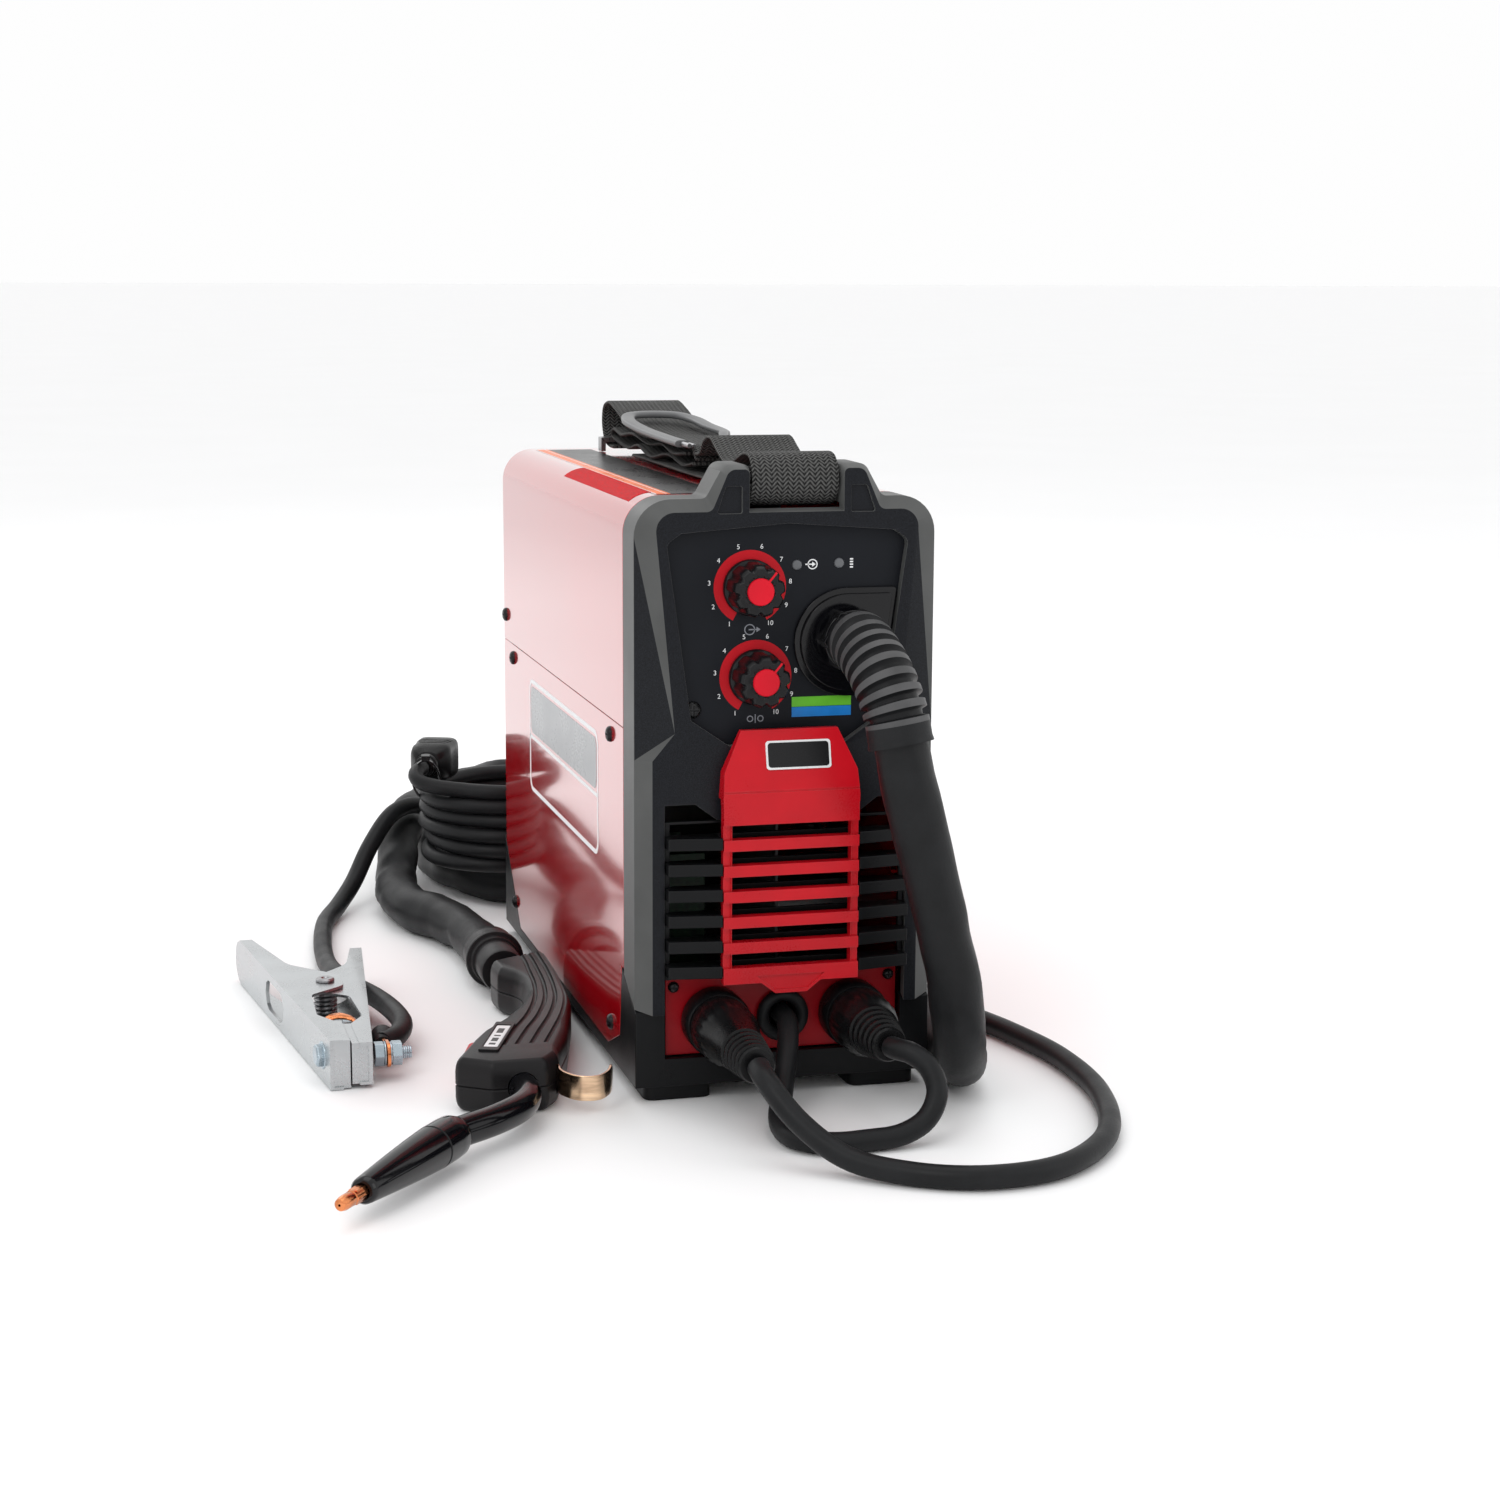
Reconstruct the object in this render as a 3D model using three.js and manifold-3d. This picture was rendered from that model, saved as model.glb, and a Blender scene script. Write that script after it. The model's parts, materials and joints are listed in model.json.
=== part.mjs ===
// Compact wire-feed (MIG and flux-core) inverter welder with its torch, work clamp and leads.
// Millimetres, +Z up. The front faces -Y. The origin is on the floor, under the middle of the machine.
import * as THREE from 'three';
import { mergeVertices } from 'three/addons/utils/BufferGeometryUtils.js';
import Module from 'manifold-3d';

const wasm = await Module();
wasm.setup();

// ---------------------------------------------------------------- driving dimensions
const HALF_W = 75; // half the width of the machine
const CASE_TOP = 296; // top of the sheet steel case
const CASE_FRONT = -144; // seam between the case and the front bezel
const CASE_REAR = 191; // rear edge of the case
const BASE_REAR = 195; // rear face of the base tray, the machine's last face
const CORNER_R = 18; // rounded upper corners of the case
const SHEET = 1.5; // case sheet thickness
const GAP = 0.3; // clearance between neighbouring solids
const SEAM_Z = 183; // lower edge of the top cover on the left side
const PAN_Z = 14; // underside of the lower shell
const BEZEL_STEP = -168; // rear face of the bezel's front plate
const BEZEL_FRONT = -173; // front face of the bezel
const GRILLE_FRONT = -183; // front face of the grille and louvres
const KNOB_FRONT = -195; // front face of the knobs, the machine's first face

const DOOR = { y0: -136, y1: 165, z0: 98, z1: 258 };
const HINGE = { x: 72.5, z: 261, knuckle: 2.4, rod: 1.3 };

const VOLTAGE_KNOB = [-17.8, 253.1];
const SPEED_KNOB = [-14.8, 209.6];
const KNOB_POINTER_DEG = 40; // clockwise from the top
const GLAND = [32, 227];
const SOCKET_Z = 40;
const SOCKET_X = 35;

const DRIVE = { y: -70, z: 213, roll: 14, idler: 12 };
const ARM_PIVOT = [-34, 242];
const SPOOL = { y: 80, z: 180, flange: 51, wire: 44, bore: 8, x0: 10, x1: 54 };
const FAN = { x: -34.5, z: 78, half: 37, r: 33.5 };

const GUN_CABLE_R = 13;
const WORK_LEAD_R = 5.5;
const POLARITY_LEAD_R = 5.25;
const MAINS_R = 4.75;
const GUN_COIL = { x: 50, y: 366, r: 145, height: 52 };
const WORK_COIL = { x: 50, y: 366, r: 60, height: 33 };
const MAINS_COIL = { x: -60, y: 284, r: 52, z0: 26.7, height: 47.5 };

const GUN_TOP = 27; // thickness of the torch handle, lying on its side
const GUN_SEAM = 13;
const CLAMP_W = 26; // width of the stamped clamp arms

const PAINT = [0xb3121c, 0.3, 0.1];
const BLACK_PLASTIC = [0x2b2d30, 0.6, 0];
const DARK_PANEL = [0x24262a, 0.7, 0];
const RED_PLASTIC = [0xb5161f, 0.45, 0];
const RUBBER = [0x232425, 0.8, 0];
const ZINC = [0xb9bcc0, 0.35, 0.9];
const STEEL = [0x8d9096, 0.4, 0.9];
const COPPER = [0xc27544, 0.3, 0.9];
const BRASS = [0xb08d45, 0.35, 0.9];
const WEBBING = [0x1c1c1e, 0.9, 0];
const CIRCUIT = [0x24502f, 0.6, 0];

// ---------------------------------------------------------------- geometry helpers
const group = new THREE.Group();
export default group;

function add(name, geometry, [color, roughness, metalness]) {
  const material = new THREE.MeshStandardMaterial({ color, roughness, metalness });
  const mesh = new THREE.Mesh(geometry, material);
  mesh.name = name;
  group.add(mesh);
  return mesh;
}

function toSolid(geometry) {
  const bare = geometry.clone();
  bare.deleteAttribute('normal');
  bare.deleteAttribute('uv');
  const merged = mergeVertices(bare, 1e-4);
  const vertProperties = new Float32Array(merged.attributes.position.array);
  const triVerts = new Uint32Array(merged.index.array);
  return new wasm.Manifold(new wasm.Mesh({ numProp: 3, vertProperties, triVerts }));
}

function toGeometry(solid) {
  const { vertProperties, triVerts } = solid.getMesh();
  const geometry = new THREE.BufferGeometry();
  geometry.setAttribute('position', new THREE.BufferAttribute(vertProperties, 3));
  geometry.setIndex(new THREE.BufferAttribute(triVerts, 1));
  geometry.computeVertexNormals();
  return geometry;
}

const join = (...parts) => toGeometry(parts.map(toSolid).reduce((a, b) => a.add(b)));
const cut = (body, ...tools) => toGeometry(tools.map(toSolid).reduce((a, b) => a.subtract(b), toSolid(body)));
const common = (a, b) => toGeometry(toSolid(a).intersect(toSolid(b)));

// A closed shape from corners [x, y] or [x, y, radius]; a radius rounds the corner in `steps` steps.
function outline(corners, steps = 5) {
  const points = [];
  corners.forEach(([x, y, r = 0], i) => {
    const corner = new THREE.Vector2(x, y);
    if (r === 0) {
      points.push(corner);
      return;
    }
    const before = new THREE.Vector2(...corners.at(i - 1)).sub(corner).normalize();
    const after = new THREE.Vector2(...corners[(i + 1) % corners.length]).sub(corner).normalize();
    const half = Math.acos(before.dot(after)) / 2;
    const toCentre = before.clone().add(after).normalize().multiplyScalar(r / Math.sin(half));
    const centre = toCentre.add(corner);
    const start = before.clone().multiplyScalar(r / Math.tan(half)).add(corner);
    const turn = Math.sign(after.cross(before)) * (Math.PI - 2 * half);
    for (let k = 0; k <= steps; k++) {
      points.push(start.clone().rotateAround(centre, (turn * k) / steps));
    }
  });
  return new THREE.Shape(points);
}

const mirrorX = (corners) => [...corners, ...corners.map(([x, ...rest]) => [-x, ...rest]).reverse()];
const disc = (x, y, r) => new THREE.Shape().absarc(x, y, r, 0, Math.PI * 2);

function extrude(shape, depth, segments) {
  return new THREE.ExtrudeGeometry(shape, { depth, bevelEnabled: false, curveSegments: segments });
}

// Prisms: the shape's own two axes land on the two axes that are not the prism's.
const AXES_YZ = new THREE.Matrix4().set(0, 0, 1, 0, 1, 0, 0, 0, 0, 1, 0, 0, 0, 0, 0, 1);
const alongX = (shape, x0, x1, segments = 16) =>
  extrude(shape, x1 - x0, segments).applyMatrix4(AXES_YZ).translate(x0, 0, 0);
const alongY = (shape, y0, y1, segments = 16) =>
  extrude(shape, y1 - y0, segments).rotateX(Math.PI / 2).translate(0, y1, 0);
const alongZ = (shape, z0, z1, segments = 16) => extrude(shape, z1 - z0, segments).translate(0, 0, z0);

const rod = { x: (y, z, r, x0, x1, n = 16) => alongX(disc(y, z, r), x0, x1, n) };
rod.y = (x, z, r, y0, y1, n = 16) => alongY(disc(x, z, r), y0, y1, n);
rod.z = (x, y, r, z0, z1, n = 16) => alongZ(disc(x, y, r), z0, z1, n);

function box(x0, x1, y0, y1, z0, z1) {
  const geometry = new THREE.BoxGeometry(x1 - x0, y1 - y0, z1 - z0);
  return geometry.translate((x0 + x1) / 2, (y0 + y1) / 2, (z0 + z1) / 2);
}

// A tube along a smooth curve through the points.
function tube(points, radius, sides = 8, spacing = radius * 5) {
  const curve = new THREE.CatmullRomCurve3(points.map((p) => new THREE.Vector3(...p)), false, 'centripetal');
  const steps = Math.max(2, Math.round(curve.getLength() / spacing));
  const section = new THREE.Shape(disc(0, 0, radius).getSpacedPoints(sides).slice(0, sides));
  return new THREE.ExtrudeGeometry(section, { steps, extrudePath: curve });
}

// A body turned from [radius, height] pairs about Z.
function turned(profile, n = 24) {
  const points = profile.map(([r, h]) => new THREE.Vector2(r, h));
  return new THREE.LatheGeometry(points, n).rotateX(Math.PI / 2);
}

// The outer shape of a round coil of cord, with its upper and lower edges rounded off.
function coilRing({ x, y, r, height, z0 = GAP }, band) {
  const [inner, outer, top] = [r - band / 2, r + band / 2, height];
  const edge = band / 4;
  const profile = [
    [inner + edge, 0], [outer - edge, 0], [outer, edge], [outer, top - edge],
    [outer - edge, top], [inner + edge, top], [inner, top - edge], [inner, edge], [inner + edge, 0],
  ];
  return turned(profile, 18).translate(x, y, z0);
}

// A flat strip of the given thickness along an open line of [x, y] points.
function strip(line, thickness) {
  const points = line.map((p) => new THREE.Vector2(...p));
  const side = (sign) => points.map((p, i) => {
    const ahead = (points[i + 1] ?? p).clone().sub(points[i - 1] ?? p).normalize();
    return p.clone().add(new THREE.Vector2(-ahead.y, ahead.x).multiplyScalar((sign * thickness) / 2));
  });
  return new THREE.Shape([...side(-1), ...side(1).reverse()]);
}

// A closed body between two outlines with the same number of corners, at two depths in Y.
function loftY(shapeA, yA, shapeB, yB) {
  const [a, b] = [shapeA.getPoints(), shapeB.getPoints()];
  const n = a.length;
  const caps = THREE.ShapeUtils.triangulateShape(a, []);
  const capsB = THREE.ShapeUtils.triangulateShape(b, []);
  const index = [...caps.flatMap(([i, j, k]) => [i, k, j]), ...capsB.flatMap((t) => t.map((i) => i + n))];
  for (let i = 0; i < n; i++) {
    const j = (i + 1) % n;
    index.push(i, j, n + j, i, n + j, n + i);
  }
  const position = [...a.flatMap((p) => [p.x, yA, p.y]), ...b.flatMap((p) => [p.x, yB, p.y])];
  const geometry = new THREE.BufferGeometry();
  geometry.setAttribute('position', new THREE.Float32BufferAttribute(position, 3));
  geometry.setIndex(index);
  return geometry;
}

// ---------------------------------------------------------------- case and base
const sectionCorners = (inset, bottom) => mirrorX([
  [HALF_W - inset, bottom],
  [HALF_W - inset, CASE_TOP - inset, CORNER_R - inset],
]);

// The whole wrapped sheet of the case, before it is divided into cover, shell and door.
function caseSheet(y0, y1) {
  const outer = alongY(outline(sectionCorners(0, PAN_Z), 4), y0, y1);
  const inner = alongY(outline(sectionCorners(SHEET, PAN_Z + SHEET), 4), y0 - 1, y1 + 1);
  return cut(outer, inner);
}

// Side view of the lower shell: its bottom corners are cut back for the base tray.
const SHELL_SIDE = [
  [CASE_FRONT + GAP, CASE_TOP], [CASE_FRONT + GAP, 62], [-138, 62], [-133, 25], [-106, PAN_Z],
  [145, PAN_Z], [CASE_REAR, 59], [CASE_REAR, CASE_TOP],
];
const TRAY_SIDE = [
  [-170, 8], [-170, 46], [-138.4, 61.5], [-133.5, 24.6], [-106.1, PAN_Z - GAP],
  [145.1, PAN_Z - GAP], [BASE_REAR, 61.5], [BASE_REAR, 8],
];

function addLowerShell() {
  const sheet = caseSheet(CASE_FRONT + GAP, CASE_REAR);
  const profile = alongX(outline(SHELL_SIDE), -HALF_W - 1, HALF_W + 1);
  const aboveLeft = box(-HALF_W - 1, 40, -300, 300, SEAM_Z - GAP, 400);
  const aboveRight = box(30, HALF_W + 1, -300, 300, HINGE.z + 3 - GAP, 400);
  const doorway = box(60, HALF_W + 1, DOOR.y0, DOOR.y1, DOOR.z0, 400);
  add('lower_shell', cut(common(sheet, profile), aboveLeft, aboveRight, doorway), PAINT);
}

function hingeKnuckles(ranges, leafZ0, leafZ1) {
  return ranges.flatMap(([y0, y1]) => [
    rod.y(HINGE.x, HINGE.z, HINGE.knuckle, y0, y1, 8),
    box(HINGE.x + 0.9, HALF_W - 0.1, y0, y1, leafZ0, leafZ1),
  ]);
}

function addTopCover() {
  const sheet = caseSheet(CASE_FRONT + GAP, CASE_REAR);
  const belowLeft = box(-HALF_W - 1, 0, -300, 300, 0, SEAM_Z);
  const belowRight = box(-1, HALF_W + 1, -300, 300, 0, HINGE.z + 3);
  const knuckles = hingeKnuckles([[-89.5, -60], [60, 89.5]], HINGE.z, HINGE.z + 4);
  const bore = rod.y(HINGE.x, HINGE.z, HINGE.rod + 0.4, -130, 160, 6);
  add('top_cover', cut(join(cut(sheet, belowLeft, belowRight), ...knuckles), bore), PAINT);
}

function addSideDoor() {
  const skin = box(HALF_W - SHEET, HALF_W, DOOR.y0 + 0.5, DOOR.y1 - 0.5, DOOR.z0 + 0.5, DOOR.z1);
  const stiffener = box(HALF_W - 7, HALF_W - 1, DOOR.y0 + 6, DOOR.y1 - 6, DOOR.z0 + 2, DOOR.z0 + 3.5);
  const knuckles = hingeKnuckles([[-120, -90], [30, 59.5], [90, 120]], DOOR.z1 - 2, HINGE.z);
  const bore = rod.y(HINGE.x, HINGE.z, HINGE.rod + 0.4, -130, 160, 6);
  const latchHole = rod.x(15, 114, 9.6, 50, 90, 14);
  const relief = box(60, 73.2, 3, 45, 90, 126);
  add('side_door', cut(join(skin, stiffener, ...knuckles), bore, latchHole, relief), PAINT);
  add('door_hinge_rod', rod.y(HINGE.x, HINGE.z, HINGE.rod, -121, 121, 6), STEEL);
}

function addDoorLatch() {
  const knob = rod.x(15, 114, 9, 70, HALF_W, 14);
  const slot = box(HALF_W - 2, HALF_W + 1, 13.6, 16.4, 107, 121);
  const cam = box(70, 72.4, 10, 20, 90, 114);
  add('door_latch', cut(join(knob, cam), slot), BLACK_PLASTIC);
}

function addBaseTray() {
  const body = alongX(outline(TRAY_SIDE), -HALF_W, HALF_W);
  const frontPocket = box(-60, 60, -180, -140, 22, 80);
  const floorPan = box(-72, 72, -131, 300, 11, 100);
  const behindBezel = box(-72, 72, -166, -120, 14, 100);
  const feet = [-52.5, 52.5].flatMap((x) => [-148, 170].map((y) =>
    alongZ(outline([[x - 17, y - 18, 5], [x + 17, y - 18, 5], [x + 17, y + 18, 5], [x - 17, y + 18, 5]], 3), 0, 9)));
  add('base_tray', cut(join(body, ...feet), frontPocket, floorPan, behindBezel), BLACK_PLASTIC);
}

// ---------------------------------------------------------------- front bezel and its panels
// Corners of the right half: [x, z] of the outer side and of the narrower front border, and a radius.
const BEZEL_CORNERS = [
  [[HALF_W, 30], [67, 30], 0],
  [[HALF_W, 171], [67, 171], 0],
  [[HALF_W, 184], [56, 184], 0],
  [[HALF_W, CASE_TOP], [66, 290], [CORNER_R, 9]],
  [[44, CASE_TOP], [42, 290], 0],
  [[35, 312], [33.5, 310], [5, 4]],
  [[22.5, 312], [23.5, 310], [2, 2]],
  [[22.5, 291], [23.5, 289.5], 0],
];
const HORNS_X = 4; // the two horns that carry the strap's bar stand a little right of the middle

// The bezel's closed outline, 0 at the back and 1 at the front face.
function bezelOutline(which) {
  const half = BEZEL_CORNERS.map((c) => [...c[which], c[2] ? c[2][which] : 0]);
  return mirrorX(half).map(([x, z, r]) => [z > 289 && Math.abs(x) < 50 ? x + HORNS_X : x, z, r]);
}
const WINDOW = mirrorX([[29, 177], [48, 190], [60, 275, 4], [53, 280], [0.01, 284]]);
const LOWER_WINDOW = mirrorX([[61, 20], [61, 149], [46, 149], [35, 141]]);

function addFrontBezel() {
  const outer = outline(bezelOutline(0), 3);
  const front = outline(bezelOutline(1), 3);
  const body = join(alongY(outer, BEZEL_STEP, CASE_FRONT), loftY(outer, BEZEL_STEP, front, BEZEL_FRONT));
  const cavity = alongY(outline(mirrorX([[72, 20], [72, 293, 15]]), 3), BEZEL_STEP, CASE_FRONT + 1);
  const windows = [WINDOW, LOWER_WINDOW].map((w) => alongY(outline(w, 3), BEZEL_FRONT - 1, BEZEL_STEP + 1));
  const recess = [[27, 289], [39.5, 289], [35, 302], [27, 302]];
  const pads = [recess, recess.map(([x, z]) => [-x, z]).reverse()].map((corners) =>
    alongY(outline(corners), BEZEL_FRONT - 1, BEZEL_FRONT + 1.5).translate(HORNS_X, 0, 0));
  const trayEdge = [[-200, -10], [-200, 31.9], [-170, 46.4], [-138, 62.1], [-120, 62.1], [-120, -10]];
  const belowTray = alongX(outline(trayEdge), -HALF_W - 1, HALF_W + 1);
  const barHoles = rod.x(-156, 304.5, 3.6, HORNS_X - 38, HORNS_X + 38, 8);
  add('front_bezel', cut(body, cavity, ...windows, ...pads, belowTray, barHoles), BLACK_PLASTIC);
  add('front_handle_bar', rod.x(-156, 304.5, 3, HORNS_X - 37, HORNS_X + 37, 10), STEEL);
}

function addControlPanel() {
  const edge = mirrorX([[33, 172], [58, 188], [66, 286, 6]]);
  const plate = alongY(outline(edge, 2), BEZEL_STEP + GAP, BEZEL_STEP + GAP + 2);
  const holes = [VOLTAGE_KNOB, SPEED_KNOB].map(([x, z]) => rod.y(x, z, 3.8, -180, -150, 8));
  add('control_panel', cut(plate, ...holes, rod.y(...GLAND, 9.6, -180, -150, 12)), DARK_PANEL);
}

function addControlBoard() {
  const board = box(-46, 18, -150, -148.4, 188, 272);
  const pots = [VOLTAGE_KNOB, SPEED_KNOB].map(([x, z]) => rod.y(x, z, 8, -165, -149, 10));
  const bores = [VOLTAGE_KNOB, SPEED_KNOB].map(([x, z]) => rod.y(x, z, 3.6, -166, -152, 8));
  add('control_board', cut(join(board, ...pots), ...bores), CIRCUIT);
}

function addKnob(name, [x, z]) {
  const profile = [[0, 0], [14.5, 0], [14.5, 3], [13.2, 4], [12.6, 24], [11.4, 26], [0, 26]];
  const body = turned(profile, 14).rotateX(Math.PI / 2).translate(x, KNOB_FRONT + 26, z);
  const shaft = rod.y(x, z, 3, KNOB_FRONT + 25, -154, 8);
  const notches = Array.from({ length: 7 }, (_, i) => {
    const angle = THREE.MathUtils.degToRad(90 - KNOB_POINTER_DEG + (i + 0.5) * (360 / 7));
    return rod.y(x + 15.2 * Math.cos(angle), z + 15.2 * Math.sin(angle), 3.2, KNOB_FRONT - 1, KNOB_FRONT + 21, 5);
  });
  add(name, cut(join(body, shaft), ...notches), BLACK_PLASTIC);
}

function addGrille() {
  const slats = Array.from({ length: 6 }, (_, i) => 64.3 + i * 12.7);
  const wing = (s) => slats.map((z) =>
    alongZ(outline([[s * 34.5, GRILLE_FRONT], [s * 46, GRILLE_FRONT + 2], [s * 60.5, GRILLE_FRONT + 4],
      [s * 60.5, -170], [s * 34.5, -170]]), z, z + 6));
  const back = cut(box(-60.5, 60.5, -171, -169, 62, 140.5),
    ...slats.map((z, i) => box(-58, 58, -180, -160, z + 6, Math.min(z + 12.7, 139))));
  add('louvre_panel', join(back, ...wing(1), ...wing(-1)), BLACK_PLASTIC);

  const frame = mirrorX([[8, 55.5], [15, 61], [34, 61], [34, 149], [36.5, 151.5], [35, 166], [24.5, 185]]);
  const cap = mirrorX([[36.3, 152], [35, 166], [24.5, 185]]);
  const face = join(alongY(outline(frame), GRILLE_FRONT, GRILLE_FRONT + 6),
    alongY(outline(cap), GRILLE_FRONT + 3, BEZEL_FRONT - GAP));
  const slope = alongX(outline([[GRILLE_FRONT - 1, 151], [GRILLE_FRONT - 1, 190], [-176.5, 190], [-176.5, 186]]), -50, 50);
  const slots = Array.from({ length: 6 }, (_, i) => box(-30, 30, -190, -170, 69 + i * 12.7, 76.2 + i * 12.7));
  const neck = box(-24, 24, -178, BEZEL_FRONT - GAP, 152, 176);
  add('grille_insert', cut(join(face, neck), slope, ...slots), RED_PLASTIC);
}

function addSockets() {
  const plate = box(-59, 59, -165.5, -163.5, 22.6, 62);
  const holes = [-SOCKET_X, 0, SOCKET_X].map((x) => rod.y(x, SOCKET_Z, x ? 14.6 : 9, -170, -160, 12));
  add('socket_panel', cut(plate, ...holes), RED_PLASTIC);
  for (const [name, x] of [['negative_socket', -SOCKET_X], ['positive_socket', SOCKET_X]]) {
    const collar = rod.y(x, SOCKET_Z, 16.5, -180, -166, 16);
    const barrel = rod.y(x, SOCKET_Z, 14, -167, -148, 12);
    add(name, cut(join(collar, barrel), rod.y(x, SOCKET_Z, 6.2, -190, -155, 10)), BLACK_PLASTIC);
  }
}

// ---------------------------------------------------------------- rear panel, fan, switch and inlets
function addRearPanel() {
  const plate = alongY(outline(mirrorX([[72.9, 62.5], [72.9, CASE_TOP - 2, 16]]), 4), 174, 175.5);
  const lower = box(-71.5, 71.5, 174, 175.5, 16, 63);
  const vents = Array.from({ length: 6 }, (_, i) => box(FAN.x - 30, FAN.x + 30, 170, 180, 47 + i * 11, 53 + i * 11));
  const openings = [box(18, 33, 170, 180, 205, 233), rod.y(35, 120, 9.3, 170, 180, 12), rod.y(35, 66, 9.2, 170, 180, 12)];
  add('rear_panel', cut(join(plate, lower), ...vents, ...openings), PAINT);
}

function addPowerSwitch() {
  const tilt = THREE.MathUtils.degToRad(8);
  const rocker = alongX(outline([[-7, -12], [4, -12, 1], [5, 0], [4, 12, 1], [-7, 12], [-9, 0]], 2), -7, 7);
  rocker.rotateX(tilt).translate(25.5, 180, 219);
  add('power_switch', rocker, BLACK_PLASTIC);
}

function addInlets() {
  const gland = turned([[0, 0], [12, 0], [12, 6], [8, 9], [6.8, 16], [0, 16]], 12);
  gland.rotateX(-Math.PI / 2).translate(35, 176, 66);
  const thread = rod.y(35, 66, 8.6, 160, 177, 12);
  const bore = rod.y(35, 66, MAINS_R + 0.6, 150, 220, 8);
  add('mains_cord_gland', cut(join(gland, thread), bore), BLACK_PLASTIC);
  const inlet = join(rod.y(35, 120, 8.8, 160, 178, 6), rod.y(35, 120, 6, 177, 192, 10));
  add('gas_inlet', cut(inlet, rod.y(35, 120, 2.6, 150, 200, 8)), BRASS);
}

function addFan() {
  const { x, z, half, r } = FAN;
  const frame = box(x - half, x + half, 148, 173.5, z - half, z + half);
  const hole = rod.y(x, z, r + 1.2, 140, 180, 20);
  const hub = rod.y(x, z, 14, 170.5, 173.5, 12);
  const spokes = [0, 2, 4].map((k) =>
    box(-2, 2, 170.5, 173.5, 12, r + 2).rotateY((k * Math.PI) / 3).translate(x, 0, z));
  const pin = rod.y(x, z, 2, 160, 172, 8);
  add('fan_frame', join(cut(frame, hole), hub, ...spokes, pin), BLACK_PLASTIC);

  const blades = Array.from({ length: 5 }, (_, i) => new THREE.BoxGeometry(2, 18, 20)
    .rotateZ(0.6).translate(0, 159, 22).rotateY((i * Math.PI * 2) / 5).translate(x, 0, z));
  const centre = rod.y(x, z, 13.5, 150, 169, 12);
  add('fan_rotor', cut(join(centre, ...blades), rod.y(x, z, 2.5, 158, 175, 8)), BLACK_PLASTIC);
}

// ---------------------------------------------------------------- inside of the case
function addPartition() {
  const plate = box(4, 5.5, -138, 173, 16.5, 291);
  const motorHole = rod.x(DRIVE.y, DRIVE.z, 19.5, 0, 10, 16);
  const spindle = rod.x(SPOOL.y, SPOOL.z, SPOOL.bore - 0.8, 5, SPOOL.x1 + 5, 12);
  add('centre_partition', join(cut(plate, motorHole), spindle), STEEL);
}

function addWireSpool() {
  const { y, z, flange, wire, bore, x0, x1 } = SPOOL;
  const width = x1 - x0;
  const profile = [
    [bore, 0], [flange, 0], [flange, 2], [wire, 2], [wire, width - 2], [flange, width - 2],
    [flange, width], [bore, width], [bore, 0],
  ];
  add('wire_spool', turned(profile, 20).rotateY(Math.PI / 2).translate(x0, y, z), BLACK_PLASTIC);
}

function addWireDrive() {
  const { y, z, roll, idler } = DRIVE;
  const [pivotY, pivotZ] = ARM_PIVOT;
  const idlerZ = z + roll + 0.4 + idler;
  const can = rod.x(y, z, 18, -52, 7, 16);
  const housing = box(6, 20, -105, -20, 192, 250);
  const shaft = rod.x(y, z, 4.4, 19, 38, 8);
  const post = rod.x(pivotY, pivotZ, 3.4, 19, 42, 8);
  add('drive_motor', join(can, housing, shaft, post), STEEL);
  add('drive_roll', cut(rod.x(y, z, roll, 26, 36, 18), rod.x(y, z, 4.9, 20, 40, 10)), STEEL);
  add('idler_roll', cut(rod.x(y, idlerZ, idler, 26, 36, 16), rod.x(y, idlerZ, 4, 20, 40, 10)), STEEL);
  const arm = alongX(outline([[-98, 236], [-26, 236, 4], [-26, 248, 4], [-98, 248]], 3), 37.5, 41);
  const knob = rod.z(39.3, -92, 5.5, 236, 261, 8);
  const axle = rod.x(y, idlerZ, 3.3, 25, 38, 8);
  add('pressure_arm', cut(join(arm, knob, axle), rod.x(pivotY, pivotZ, 3.9, 30, 50, 8)), ZINC);
}

function addPowerBoard() {
  const board = box(-68, -66.4, -120, 135, 30, 175);
  const transformer = box(-67, -18, 70, 125, 60, 118);
  const fins = Array.from({ length: 4 }, (_, i) => box(-67, -24, -105 + i * 18, -101 + i * 18, 40, 110));
  const heatsink = box(-67, -60, -106, -45, 40, 110);
  const capacitors = [-12, 25].map((y) => rod.x(y, 145, 13, -67, -30, 10));
  add('power_board', join(board, transformer, heatsink, ...fins, ...capacitors), CIRCUIT);
}

// ---------------------------------------------------------------- carry strap on the top
function addStrap() {
  const [left, right] = [HORNS_X - 21.5, HORNS_X + 21.5];
  const folds = outline([
    [-120, 297], [163, 297], [172, 303, 4], [172, 322, 6], [150, 326, 8], [118, 314, 8], [-118, 310, 4],
  ], 2);
  const loop = outline([
    [-171, 292.3, 8], [-171, 316, 9], [-140, 317, 8], [-118, 309, 2], [-118, 299, 2], [-144.6, 297.6, 1], [-149.5, 292.3, 2],
  ], 2);
  const barHole = rod.x(-156, 304.5, 3.6, -40, 40, 8);
  const ring = cut(alongX(loop, left, right), barHole);
  const bracketHole = box(-35, 35, 153.5, 166.5, 296, 305);
  add('carry_strap', join(cut(alongX(folds, left, right), bracketHole), ring), WEBBING);
  const staple = cut(box(left - 5, right + 5, 156, 164, CASE_TOP + GAP, 304.5), box(left - 2, right + 2, 150, 170, 290, 301.5));
  add('rear_strap_bracket', staple, STEEL);
  const side = outline([[-60, 311.8], [100, 314.6], [114, 319.5], [111, 322], [98, 318.4], [-60, 315.6]]);
  const slot = box(-17, 15, -48, 92, 300, 330);
  add('strap_slider', cut(alongX(side, -24, 22), slot), BLACK_PLASTIC);
}

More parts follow.
